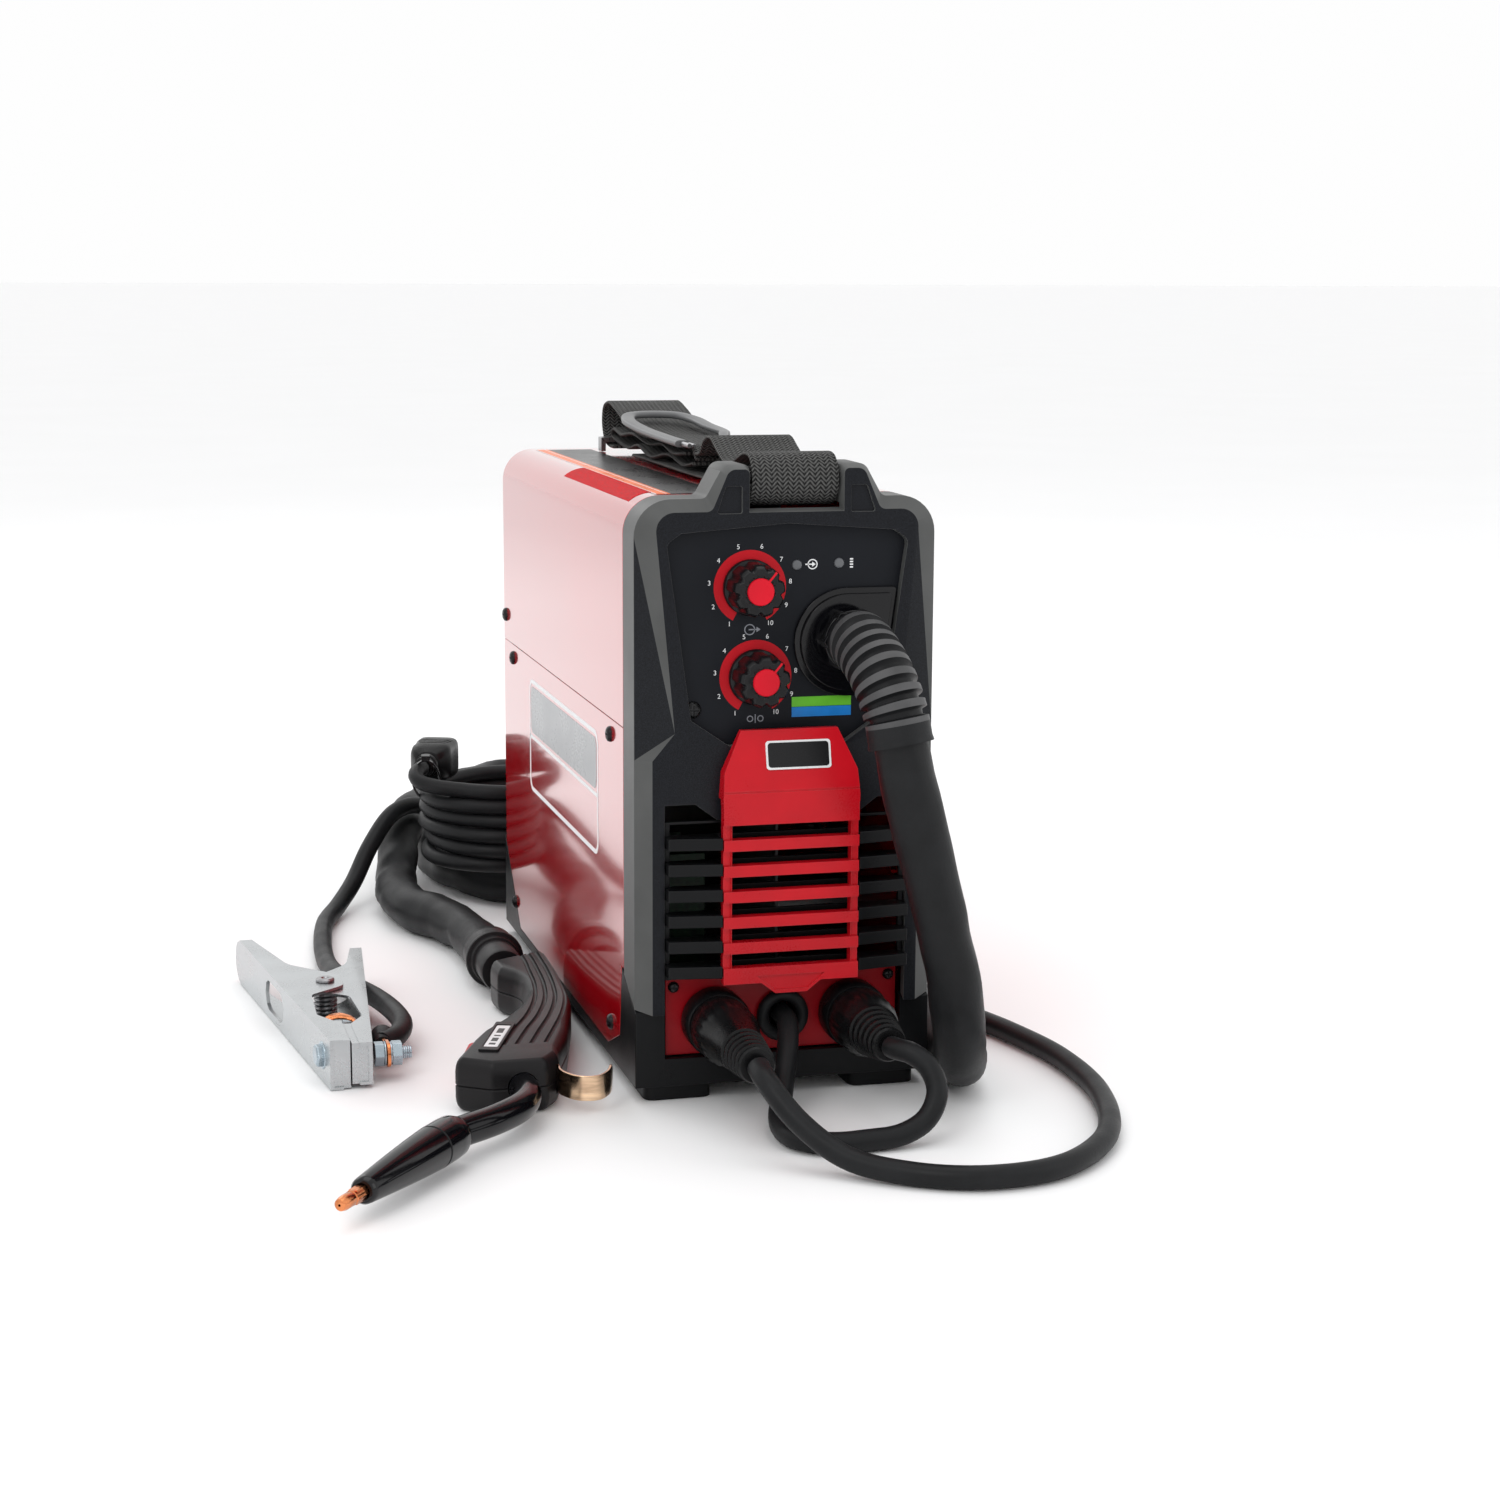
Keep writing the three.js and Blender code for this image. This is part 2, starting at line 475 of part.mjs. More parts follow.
// ---------------------------------------------------------------- torch, lying on its side
const HANDLE = [
  [-79.5, 45, 5], [-80.5, 0, 60], [-85, -60, 60], [-99, -120, 40], [-109, -150, 6],
  [-111, -160, 3], [-119, -172, 3], [-146, -172, 2], [-163, -160, 3], [-148, -126], [-141, -112],
  [-126, -90, 6], [-114, -68, 20], [-104, -40, 30], [-103, -10, 30], [-112.5, 8, 6], [-114, 25, 4],
];
const COLLAR = { x: -104, y: 62.5, r: 16.5, length: 24 };
const NECK = [[-131, -169, 13.5], [-131.5, -184, 13.5], [-138, -202, 13.5], [-153, -219, 13.5], [-173, -234.5, 13.5]];
const NOZZLE_AT = [-173, -234.5, 13.5];
const NOZZLE_DEG = -36.5; // turned about Z from pointing along -Y

// Lays a body turned about Z along the torch's outlet, from the end of the neck.
function onNozzleAxis(geometry, offset) {
  return geometry.rotateX(Math.PI / 2).translate(0, -offset, 0)
    .rotateZ(THREE.MathUtils.degToRad(NOZZLE_DEG)).translate(...NOZZLE_AT);
}

function addTorch() {
  const body = outline(HANDLE, 2);
  const neckHole = rod.y(-131, 13.5, 8.3, -174, -160, 10);
  const triggerSlot = alongZ(outline([[-146, -143], [-127, -115], [-136, -98], [-165, -122]]), 5, 21);
  const hookSlot = box(-113, -104, -170, -150, 6, 21);
  const halves = [['gun_handle_lower', GAP, GUN_SEAM - 0.15], ['gun_handle_upper', GUN_SEAM + 0.15, GUN_TOP]];
  for (const [name, z0, z1] of halves) {
    add(name, cut(alongZ(body, z0, z1), neckHole, triggerSlot, hookSlot), BLACK_PLASTIC);
  }
  const trigger = outline([[-147.5, -134], [-134, -113], [-137.5, -104], [-148, -112, 3], [-153, -128, 3]], 3);
  add('gun_trigger', alongZ(trigger, 6, 20), RED_PLASTIC);
  add('gun_neck', tube([[-131, -162, 13.5], ...NECK.slice(0, -1), [-172, -233.7, 13.5]], 7.3, 10, 12), BLACK_PLASTIC);
  const nozzle = turned([[0, 1.5], [8.5, 1.5], [10.3, 6], [10.3, 24], [6, 86], [5.4, 88], [0, 88]], 14);
  const tipBore = rod.z(0, 0, 3.9, 60, 90, 8);
  add('gun_nozzle', onNozzleAxis(cut(nozzle, tipBore), 0), BLACK_PLASTIC);
  add('gun_contact_tip', onNozzleAxis(turned([[0, 62], [3.4, 62], [3.4, 104], [2.6, 107], [0, 107]], 8), 0), COPPER);
  const hook = strip([[-109, -160], [-108, -172], [-103, -181], [-96, -181], [-89, -173], [-84, -158]], 2);
  add('gun_hook', alongZ(hook, 7, 20), COPPER);
}

// ---------------------------------------------------------------- work clamp, lying on its side
const CLAMP = { x: -206.5, front: -112, pivotY: 4, leftTip: [-244, 118], rightTip: [-178, 88], jaw: 9.6 };

// One stamped arm: an edge web with two side plates that lap over the pivot.
function clampArm(s, tip, z0, z1) {
  const { x, front, pivotY, jaw } = CLAMP;
  const foot = [x + s * jaw, front];
  const web = strip([foot, tip], 2);
  const at = (t) => foot[0] + (tip[0] - foot[0]) * t;
  const along = (y) => (y - front) / (tip[1] - front);
  const plate = outline([
    foot, [at(along(tip[1])), tip[1]], [at(along(tip[1])) - s * 6, tip[1] - 6], [x + s * 16, 45, 20],
    [x - s * 9, pivotY + 12, 8], [x - s * 9, pivotY - 10, 8], [x + s * 10, pivotY - 26, 6],
    [x + s * 11.5, -62, 6], [x + s * 4, -76, 4], [x + s * 4, front],
  ], 2);
  const plates = [alongZ(plate, z0, z0 + 1.5), alongZ(plate, z1 - 1.5, z1)];
  const block = box(...[x + s * 0.4, x + s * (jaw - 0.5)].sort((a, b) => a - b), front + 1, front + 38, z0 + 0.5, z1 - 0.5);
  // the handle's end is round
  const middle = (z0 + z1) / 2;
  const arc = Array.from({ length: 6 }, (_, i) => {
    const angle = (Math.PI / 2) * (i / 5);
    return [tip[1] - 12 + 12 * Math.sin(angle), 12 * Math.cos(angle)];
  });
  const corners = [1, -1].map((k) => alongX(outline(
    [[tip[1] - 12, 20], ...arc, [tip[1] + 3, 0], [tip[1] + 3, 20]].map(([y, h]) => [y, middle + k * h]),
  ), tip[0] - 12, tip[0] + 12));
  return cut(join(alongZ(web, z0, z1), ...plates, block), rod.z(x, pivotY, 3.5, -5, 40, 8), ...corners);
}

function addClamp() {
  const { x, front, pivotY } = CLAMP;
  const window = (cx, y0, y1) => alongX(outline([[y0, 5, 8], [y1, 5, 8], [y1, 21.5, 8], [y0, 21.5, 8]], 2), cx - 14, cx + 14);
  add('clamp_left_arm', cut(clampArm(-1, CLAMP.leftTip, GAP, CLAMP_W), window(-234, -6, 38)), ZINC);
  add('clamp_right_arm', cut(clampArm(1, CLAMP.rightTip, 2.2, CLAMP_W - 1.9), window(-182, -14, 56)), ZINC);
  const head = rod.z(x, pivotY, 5, CLAMP_W + GAP, CLAMP_W + 2, 10);
  const pin = join(rod.z(x, pivotY, 3, GAP, CLAMP_W + 1, 8), head);
  add('clamp_pivot', pin, STEEL);
  add('clamp_spring', cut(rod.z(x, pivotY, 6.5, 5, 21, 12), rod.z(x, pivotY, 3.7, 0, 30, 8)), STEEL);
  const [y, z] = [front + 16, 13];
  const bolt = join(rod.x(y, z, 3, x + 13.2, x + 32, 8), rod.x(y, z, 6.5, x + 13.2, x + 18, 6),
    rod.x(y, z, 6.5, x + 22, x + 27, 6));
  const lug = box(x + 19, x + 21, front + 8, front + 34, 7, 19);
  add('clamp_bolt', join(bolt, lug), ZINC);
}

// ---------------------------------------------------------------- leads, their plugs and coils
const STRAIN_RELIEF = [[32, -181, 227], [32.3, -190, 226.6], [36, -210, 214], [39.5, -219, 199], [42, -222, 183]];
const GUN_CABLE_FRONT = [
  [42.9, -222.6, 180.2], [48, -224, 155], [55, -226, 125], [62, -228, 95], [69, -227, 66], [75, -219, 38],
  [83, -200, 20], [91, -172, 13.6], [95, -130, 13.4], [97, -70, 13.4], [97, 0, 13.4], [96, 80, 13.4],
  [96, 140, 13.4], [100, 180, 13.4], [104, 197, 13.4],
];
const GUN_CABLE_REAR = [
  [-77, 438, 40.2], [-92, 412, 40.2], [-104, 387, 40.4], [-112.5, 362, 39.8], [-120.5, 337, 34], [-126, 312, 22],
  [-130, 288, 14.5], [-133, 262, 13.4], [-133, 236, 13.4], [-128, 208, 13.4], [-118, 185, 13.4], [-110.5, 162, 13.4],
  [-106, 135, 13.6], [-104.5, 108, 14.4], [-104, 85.5, 15.4],
];
const WORK_LEAD_FRONT = [
  [-35, -252.6, 40], [-34.2, -264, 36.5], [-24, -281, 22], [-6, -299, 9], [18, -318, 5.9], [48, -331, 5.9],
  [85, -326, 5.9], [122, -291, 5.9], [145, -230, 5.9], [150, -165, 5.9], [141, -110, 5.9], [127, -60, 5.9],
  [119, 0, 5.9], [118, 70, 5.9], [120, 110, 10], [121, 145, 25], [117, 180, 33.5], [106, 212, 33.5],
  [99, 240, 33.5], [96, 262, 27], [97, 285, 14], [103, 305, 7.5], [109, 322, 6],
];
const WORK_LEAD_REAR = [
  [-15, 403, 29], [-32, 388, 30.5], [-52, 371, 33], [-73, 358, 33.5], [-92, 347, 44], [-110, 335, 54],
  [-127, 321, 52], [-144, 302, 36], [-158, 281, 17], [-171, 256, 7.5],
  [-182, 224, 5.9], [-190, 170, 5.9], [-193, 125, 6],
  [-192.5, 90, 8.5], [-190, 60, 12], [-185, 32, 13.2], [-178, 8, 13.4], [-173, -20, 13.4], [-172, -45, 13.2],
  [-178, -66, 13], [-186.6, -76.5, 13],
];
const POLARITY_LEAD = [
  [0, -162, 40], [0, -176, 39], [-4, -192, 31], [-12, -212, 16], [-20, -236, 6.5], [-18, -256, 5.6],
  [-4, -267, 5.6], [14, -267, 5.6], [31, -266, 6.8], [44, -263.5, 13], [50, -259.5, 24], [48, -253, 34],
  [41.5, -246.5, 39.6], [36.4, -240.5, 40.3], [35, -234.8, 40],
];
const MAINS_CORD = [
  [35, 180, 66], [35, 196, 66], [34, 210, 63], [28, 223, 55], [16, 231, 45], [2, 233.4, 37], [-6, 233, 34],
];
const MAINS_CORD_END = [[-110, 244.5, 72], [-117, 256, 76], [-119, 267, 83], [-115.5, 275, 87.6], [-112.7, 281.2, 88.5]];
const MAINS_PLUG = { x: -112, y: 283, z: 88.5, deg: -22 };

function addGunCable() {
  // round on its left, with a straight top and right edge
  const left = Array.from({ length: 13 }, (_, i) => {
    const angle = Math.PI * (0.5 + i / 12);
    return [30.5 + 26.5 * Math.cos(angle), 225.5 + 26.5 * Math.sin(angle)];
  });
  const flange = alongY(outline([...left, [48.4, 199], [55.7, 252]]), -172, BEZEL_STEP);
  const nut = rod.y(...GLAND, 16, -179.8, -171, 6);
  const stem = rod.y(...GLAND, 9, -169, -108, 14);
  const pocket = rod.y(...GLAND, 5, -140, -100, 8);
  add('gun_gland', cut(join(flange, nut, stem), pocket), BLACK_PLASTIC);
  add('gun_strain_relief', tube(STRAIN_RELIEF, 15.5, 10, 11), RUBBER);
  add('gun_cable_front', tube(GUN_CABLE_FRONT, GUN_CABLE_R, 8, 52), RUBBER);
  const ring = coilRing(GUN_COIL, GUN_CABLE_R * 2);
  const upperLeft = box(-300, -60, 100, 600, 26.4, 80);
  const upperNear = box(-300, 116, 100, GUN_COIL.y, 26.4, 80);
  add('gun_cable_coil', cut(ring, upperLeft, upperNear), RUBBER);
  const { x, y, r, length } = COLLAR;
  const collar = join(rod.y(x, 16.8, r, y, y + length, 16), rod.y(x, 15, 12.5, y - 21, y + 1, 14));
  add('gun_cable_rear', join(collar, tube(GUN_CABLE_REAR, GUN_CABLE_R, 8, 52)), RUBBER);
}

function addWorkLead() {
  const plug = turned([[0, -9], [5.5, -9], [5.5, 0], [15, 0], [15.5, 18], [13.5, 24], [9.5, 68], [8.6, 70], [0, 70]], 14);
  plug.rotateX(Math.PI / 2).translate(-SOCKET_X, -180.3, SOCKET_Z);
  add('work_plug', plug, RUBBER);
  add('work_lead_front', tube(WORK_LEAD_FRONT, WORK_LEAD_R, 8, 30), RUBBER);
  add('work_lead_coil', coilRing(WORK_COIL, WORK_LEAD_R * 2), RUBBER);
  add('work_lead_rear', tube(WORK_LEAD_REAR, WORK_LEAD_R, 8, 28), RUBBER);
}

function addPolarityLead() {
  const plug = turned([[0, -9], [5.5, -9], [5.5, 0], [15, 0], [15.5, 14], [13.5, 20], [9, 51], [8, 52], [0, 52]], 14);
  plug.rotateX(Math.PI / 2).translate(SOCKET_X, -180.3, SOCKET_Z);
  add('polarity_plug', plug, RUBBER);
  add('polarity_lead', tube(POLARITY_LEAD, POLARITY_LEAD_R, 8, 21), RUBBER);
}

function addMainsCord() {
  add('mains_cord', tube(MAINS_CORD, MAINS_R, 8, 18), RUBBER);
  add('mains_cord_coil', coilRing(MAINS_COIL, MAINS_R * 2), RUBBER);
  add('mains_cord_end', tube(MAINS_CORD_END, MAINS_R, 8, 14), RUBBER);
  const { x, y, z, deg } = MAINS_PLUG;
  const body = turned([[0, 0], [6.5, 0], [7.5, 14], [12, 20], [13.8, 30], [13.8, 42], [0, 42]], 12);
  const blades = [-6, 6].map((dx) => box(dx - 0.8, dx + 0.8, -3.2, 3.2, 41, 58));
  const plug = join(body, ...blades, rod.z(0, -7, 2.3, 41, 60, 8));
  plug.rotateX(-Math.PI / 2).rotateZ(THREE.MathUtils.degToRad(deg)).translate(x, y, z);
  add('mains_plug', plug, RUBBER);
}

// ---------------------------------------------------------------- the whole machine
addBaseTray();
addLowerShell();
addTopCover();
addSideDoor();
addDoorLatch();
addFrontBezel();
addControlPanel();
addControlBoard();
addKnob('voltage_knob', VOLTAGE_KNOB);
addKnob('wire_speed_knob', SPEED_KNOB);
addGrille();
addSockets();
addRearPanel();
addPowerSwitch();
addInlets();
addFan();
addPartition();
addWireSpool();
addWireDrive();
addPowerBoard();
addStrap();
addTorch();
addClamp();
addGunCable();
addWorkLead();
addPolarityLead();
addMainsCord();
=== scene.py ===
"""Looks of a compact wire-feed welder with its torch, work clamp and leads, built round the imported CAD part.

Lengths in this file are millimetres in the row frame; `MM` turns them into metres when a mesh is made.
"""

import json
from math import acos, atan2, copysign, cos, pi, radians, sin, sqrt, tan

import bmesh
import bpy
import numpy as np
from mathutils import Matrix, Vector, noise


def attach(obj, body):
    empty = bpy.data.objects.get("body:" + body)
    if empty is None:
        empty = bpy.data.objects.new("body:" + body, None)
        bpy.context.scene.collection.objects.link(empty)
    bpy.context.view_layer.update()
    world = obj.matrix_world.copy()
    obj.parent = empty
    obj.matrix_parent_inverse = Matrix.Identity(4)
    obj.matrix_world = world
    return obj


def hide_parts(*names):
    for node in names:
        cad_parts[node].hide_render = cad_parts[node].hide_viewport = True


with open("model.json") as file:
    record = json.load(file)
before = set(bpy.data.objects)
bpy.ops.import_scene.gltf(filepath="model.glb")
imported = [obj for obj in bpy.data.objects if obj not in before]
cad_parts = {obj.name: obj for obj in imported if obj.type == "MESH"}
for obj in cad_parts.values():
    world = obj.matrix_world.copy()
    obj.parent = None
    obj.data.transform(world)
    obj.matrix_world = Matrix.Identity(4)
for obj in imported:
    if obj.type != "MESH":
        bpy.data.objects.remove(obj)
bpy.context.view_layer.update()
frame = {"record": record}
MM = 0.001
NODES = {o.name: o for o in bpy.data.objects if o.type == "MESH"}

# ---- driving dimensions, as in the CAD
HALF_W, CASE_TOP, CASE_FRONT, CASE_REAR = 75, 296, -143.7, 191
CORNER_R, SHEET, SEAM_Z = 18, 1.5, 183
BEZEL_STEP, BEZEL_FRONT, PANEL_Y = -168, -173, -167.7
PRINT = (PANEL_Y - 0.12, PANEL_Y - 0.02)  # front and back of what is printed on the panel
HORNS_X = 4
KNOB_FRONT, POINTER_DEG = -195, 40
DIALS = {"voltage_knob": (-17.8, 253.1), "wire_speed_knob": (-14.8, 209.6)}
GLAND = (32, 227)
SOCKET_X, SOCKET_Z = 35, 40
KNOB_BASE = KNOB_FRONT + 26  # the knobs' foot; they show 20 of the CAD's 26 mm
CLAMP_X, CLAMP_Y = -206.5, 4  # the clamp's rivet
SPOOL_AT = (10, 80, 180)

# ---- mesh data: (vertices, faces)
def catmull(points, step):
    """A centripetal Catmull-Rom curve through the points, sampled about every `step`."""
    p = np.array(points, float)
    ends = np.vstack([2 * p[0] - p[1], p, 2 * p[-1] - p[-2]])
    fine = []
    for p0, p1, p2, p3 in zip(ends, ends[1:], ends[2:], ends[3:]):
        t1 = np.linalg.norm(p1 - p0) ** 0.5
        t2 = t1 + np.linalg.norm(p2 - p1) ** 0.5
        t3 = t2 + np.linalg.norm(p3 - p2) ** 0.5
        for t in np.linspace(t1, t2, 24, endpoint=False):
            a1 = (t1 - t) / t1 * p0 + t / t1 * p1
            a2 = (t2 - t) / (t2 - t1) * p1 + (t - t1) / (t2 - t1) * p2
            a3 = (t3 - t) / (t3 - t2) * p2 + (t - t2) / (t3 - t2) * p3
            b1 = (t2 - t) / t2 * a1 + t / t2 * a2
            b2 = (t3 - t) / (t3 - t1) * a2 + (t - t1) / (t3 - t1) * a3
            fine.append((t2 - t) / (t2 - t1) * b1 + (t - t1) / (t2 - t1) * b2)
    return resample(np.vstack([fine, p[-1]]), step)


def resample(line, step):
    line = np.array(line, float)
    along = np.concatenate([[0], np.cumsum(np.linalg.norm(np.diff(line, axis=0), axis=1))])
    wanted = np.linspace(0, along[-1], max(2, int(round(along[-1] / step))) + 1)
    return np.column_stack([np.interp(wanted, along, line[:, i]) for i in range(line.shape[1])])


def outline(corners, steps=8):
    """A closed shape from corners (a, b) or (a, b, radius)."""
    points = []
    for i, corner in enumerate(corners):
        here = np.array(corner[:2], float)
        radius = corner[2] if len(corner) > 2 else 0
        if not radius:
            points.append(here)
            continue
        before = np.array(corners[i - 1][:2], float) - here
        after = np.array(corners[(i + 1) % len(corners)][:2], float) - here
        before /= np.linalg.norm(before)
        after /= np.linalg.norm(after)
        half = acos(float(np.clip(before @ after, -1, 1))) / 2
        middle = before + after
        centre = here + middle / np.linalg.norm(middle) * radius / sin(half)
        arm = here + before * radius / tan(half) - centre
        turn = copysign(pi - 2 * half, after[0] * before[1] - after[1] * before[0])
        for k in range(steps + 1):
            c, s = cos(turn * k / steps), sin(turn * k / steps)
            points.append(centre + (arm[0] * c - arm[1] * s, arm[0] * s + arm[1] * c))
    return [tuple(p) for p in points]


def mirror_x(corners):
    return [*corners, *[(-c[0], *c[1:]) for c in reversed(corners)]]


def angles(n):
    return [2 * pi * k / n for k in range(n)]


def circle(a, b, r, n=48):
    return [(a + r * cos(t), b + r * sin(t)) for t in angles(n)]


def on_axis(axis, a, b, depth):
    """A point from two coordinates across an axis and one along it."""
    return {"x": (depth, a, b), "y": (a, depth, b), "z": (a, b, depth)}[axis]


def prism(shape, axis, start, end):
    n = len(shape)
    verts = [on_axis(axis, a, b, d) for d in (start, end) for a, b in shape]
    faces = [tuple(range(n)), tuple(range(2 * n - 1, n - 1, -1))]
    faces += [(i, (i + 1) % n, n + (i + 1) % n, n + i) for i in range(n)]
    return verts, faces


def box(x0, x1, y0, y1, z0, z1):
    return prism([(x0, y0), (x1, y0), (x1, y1), (x0, y1)], "z", z0, z1)


def rod(axis, a, b, r, start, end, n=40):
    return prism(circle(a, b, r, n), axis, start, end)


def stacked(rings, closed=False):
    """A skin over rings of points with the same count; open stacks get end caps."""
    n = len(rings[0])
    verts = [tuple(p) for ring in rings for p in ring]
    pairs = list(zip(range(len(rings)), range(1, len(rings)))) + ([(len(rings) - 1, 0)] if closed else [])
    faces = [(i * n + k, i * n + (k + 1) % n, j * n + (k + 1) % n, j * n + k) for i, j in pairs for k in range(n)]
    if not closed:
        faces += [tuple(range(n - 1, -1, -1)), tuple(range((len(rings) - 1) * n, len(rings) * n))]
    return verts, faces


def turned(profile, at, direction, n=48, shape=None):
    """A body turned from (radius, height) pairs; `shape(angle, height)` scales the radius."""
    up = Vector(direction).normalized()
    turn = up.to_track_quat("Z", "Y").to_matrix()
    rings = []
    for r, h in profile:
        ring = []
        for k in range(n):
            angle = 2 * pi * k / n
            reach = max(r, 1e-3) * (shape(angle, h) if shape else 1)
            ring.append(Vector(at) + turn @ Vector((reach * cos(angle), reach * sin(angle), h)))
        rings.append(ring)
    closed = profile[0] == profile[-1]
    return stacked(rings[:-1] if closed else rings, closed)


def sweep(line, section):
    """Moves a section along a line without twist. `section(i, share)` gives points across the line."""
    line = [Vector(p) for p in line]
    count = len(line)
    heading = []
    for i, p in enumerate(line):
        ahead = line[i + 1] if i + 1 < count else p
        behind = line[i - 1] if i else p
        heading.append((ahead - behind).normalized())
    side = heading[0].cross(Vector((0, 0, 1)))
    side = (side if side.length > 0.1 else heading[0].cross(Vector((0, 1, 0)))).normalized()
    rings = []
    for i, p in enumerate(line):
        side = (side - heading[i] * side.dot(heading[i])).normalized()
        up = side.cross(heading[i])
        rings.append([p + side * a + up * b for a, b in section(i, i / max(1, count - 1))])
    return stacked(rings)


def ribbon(line, x0, x1, thickness, lean=0.0):
    """A flat strap over a line of (y, z) points, across X. `lean` shifts it sideways along its length."""
    line = np.array(line, float)
    ahead = np.gradient(line, axis=0)
    ahead /= np.linalg.norm(ahead, axis=1)[:, None]
    normal = np.column_stack([-ahead[:, 1], ahead[:, 0]]) * thickness / 2
    along = np.concatenate([[0], np.cumsum(np.linalg.norm(np.diff(line, axis=0), axis=1))])
    across = [(x0, 0.35), (x0 + 0.7, 1), (x1 - 0.7, 1), (x1, 0.35)]
    rings = []
    for p, q, s in zip(line, normal, along):
        shift = lean * sin(s * 0.045)
        upper = [(x + shift, *(p + q * k)) for x, k in across]
        lower = [(x + shift, *(p - q * k)) for x, k in reversed(across)]
        rings.append(upper + lower)
    return stacked(rings), along


def merged(*meshes):
    verts, faces = [], []
    for v, f in meshes:
        faces += [tuple(i + len(verts) for i in face) for face in f]
        verts += list(v)
    return verts, faces


def moved(mesh, matrix):
    return [tuple(matrix @ Vector(v)) for v in mesh[0]], mesh[1]


# ---- objects
def plain_object(name, mesh):
    data = bpy.data.meshes.new(name)
    data.from_pydata([[c * MM for c in v] for v in mesh[0]], [], mesh[1])
    bm = bmesh.new()
    bm.from_mesh(data)
    bmesh.ops.recalc_face_normals(bm, faces=bm.faces)
    bm.to_mesh(data)
    bm.free()
    obj = bpy.data.objects.new(name, data)
    bpy.context.scene.collection.objects.link(obj)
    return obj


def carved(name, mesh, *cutters):
    """`mesh` less the cutters, as mesh data."""
    obj = plain_object(name + "_raw", mesh)
    tools = [plain_object(name + "_tool", c) for c in cutters]
    for tool in tools:
        modifier = obj.modifiers.new("cut", "BOOLEAN")
        modifier.solver = "EXACT"
        modifier.operation = "DIFFERENCE"
        modifier.object = tool
    bpy.context.view_layer.update()
    data = obj.evaluated_get(bpy.context.evaluated_depsgraph_get()).data
    result = [tuple(v.co / MM) for v in data.vertices], [tuple(p.vertices) for p in data.polygons]
    for o in [obj, *tools]:
        bpy.data.objects.remove(o)
    return result


def cad_mesh(node):
    """A CAD node's solid as mesh data with its flat faces whole again."""
    obj = NODES[node]
    bm = bmesh.new()
    bm.from_mesh(obj.data)
    bm.transform(obj.matrix_world)
    bmesh.ops.remove_doubles(bm, verts=bm.verts, dist=2e-6)
    bmesh.ops.dissolve_limit(bm, angle_limit=0.01, verts=bm.verts, edges=bm.edges)
    verts = [tuple(v.co / MM) for v in bm.verts]
    faces = [tuple(v.index for v in f.verts) for f in bm.faces]
    bm.free()
    return verts, faces


def piece(name, mesh, look_name, body="machine", stands_for=(), bevel=0.0, segments=2, sharp=35):
    """A finished object: softened edges, smooth shading, material, body."""
    obj = plain_object(name, mesh)
    material, slot = look(look_name)
    obj.data.materials.append(material)
    obj.data.polygons.foreach_set("use_smooth", [True] * len(obj.data.polygons))
    obj.data.set_sharp_from_angle(angle=radians(sharp))
    if bevel:
        modifier = obj.modifiers.new("soft edges", "BEVEL")
        modifier.width = bevel * MM
        modifier.segments = segments
        modifier.limit_method = "ANGLE"
        modifier.angle_limit = radians(sharp)
        modifier.harden_normals = True
    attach(obj, body)
    if stands_for:
        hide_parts(*([stands_for] if isinstance(stands_for, str) else stands_for))
    return obj


def refined(node, look_name, body="machine", bevel=0.4, segments=2, sharp=35):
    """A CAD node's own shape with softened edges."""
    return piece(node + "_skin", cad_mesh(node), look_name, body, node, bevel, segments, sharp)


# ---- materials
def node(tree, kind, **settings):
    made = tree.nodes.new("ShaderNode" + kind)
    for key, value in settings.items():
        if hasattr(made, key):
            setattr(made, key, value)
        else:
            made.inputs[key.replace("_", " ")].default_value = value
    return made


def math_node(tree, operation, a, b=0.0, c=0.0):
    made = tree.nodes.new("ShaderNodeMath")
    made.operation = operation
    for slot_index, value in enumerate((a, b, c)):
        if isinstance(value, (int, float)):
            made.inputs[slot_index].default_value = value
        else:
            tree.links.new(value, made.inputs[slot_index])
    return made.outputs[0]


def noise_field(tree, coords, scale, detail=3.0, stretch=(1, 1, 1)):
    mapping = node(tree, "Mapping")
    mapping.inputs["Scale"].default_value = stretch
    tree.links.new(coords, mapping.inputs["Vector"])
    made = node(tree, "TexNoise", Scale=scale, Detail=detail)
    tree.links.new(mapping.outputs["Vector"], made.inputs["Vector"])
    return made.outputs["Fac"]


def remap(tree, value, low, high, start=0.3, end=0.7):
    made = tree.nodes.new("ShaderNodeMapRange")
    tree.links.new(value, made.inputs["Value"])
    for key, number in (("From Min", start), ("From Max", end), ("To Min", low), ("To Max", high)):
        made.inputs[key].default_value = number
    return made.outputs["Result"]


def blend_colors(tree, factor, a, b):
    made = tree.nodes.new("ShaderNodeMix")
    made.data_type = "RGBA"
    tree.links.new(factor, made.inputs["Factor"])
    for key, value in ((6, a), (7, b)):
        if isinstance(value, tuple):
            made.inputs[key].default_value = (*value, 1)
        else:
            tree.links.new(value, made.inputs[key])
    return made.outputs[2]


def scaled(color, k):
    return tuple(min(1.0, c * k) for c in color)


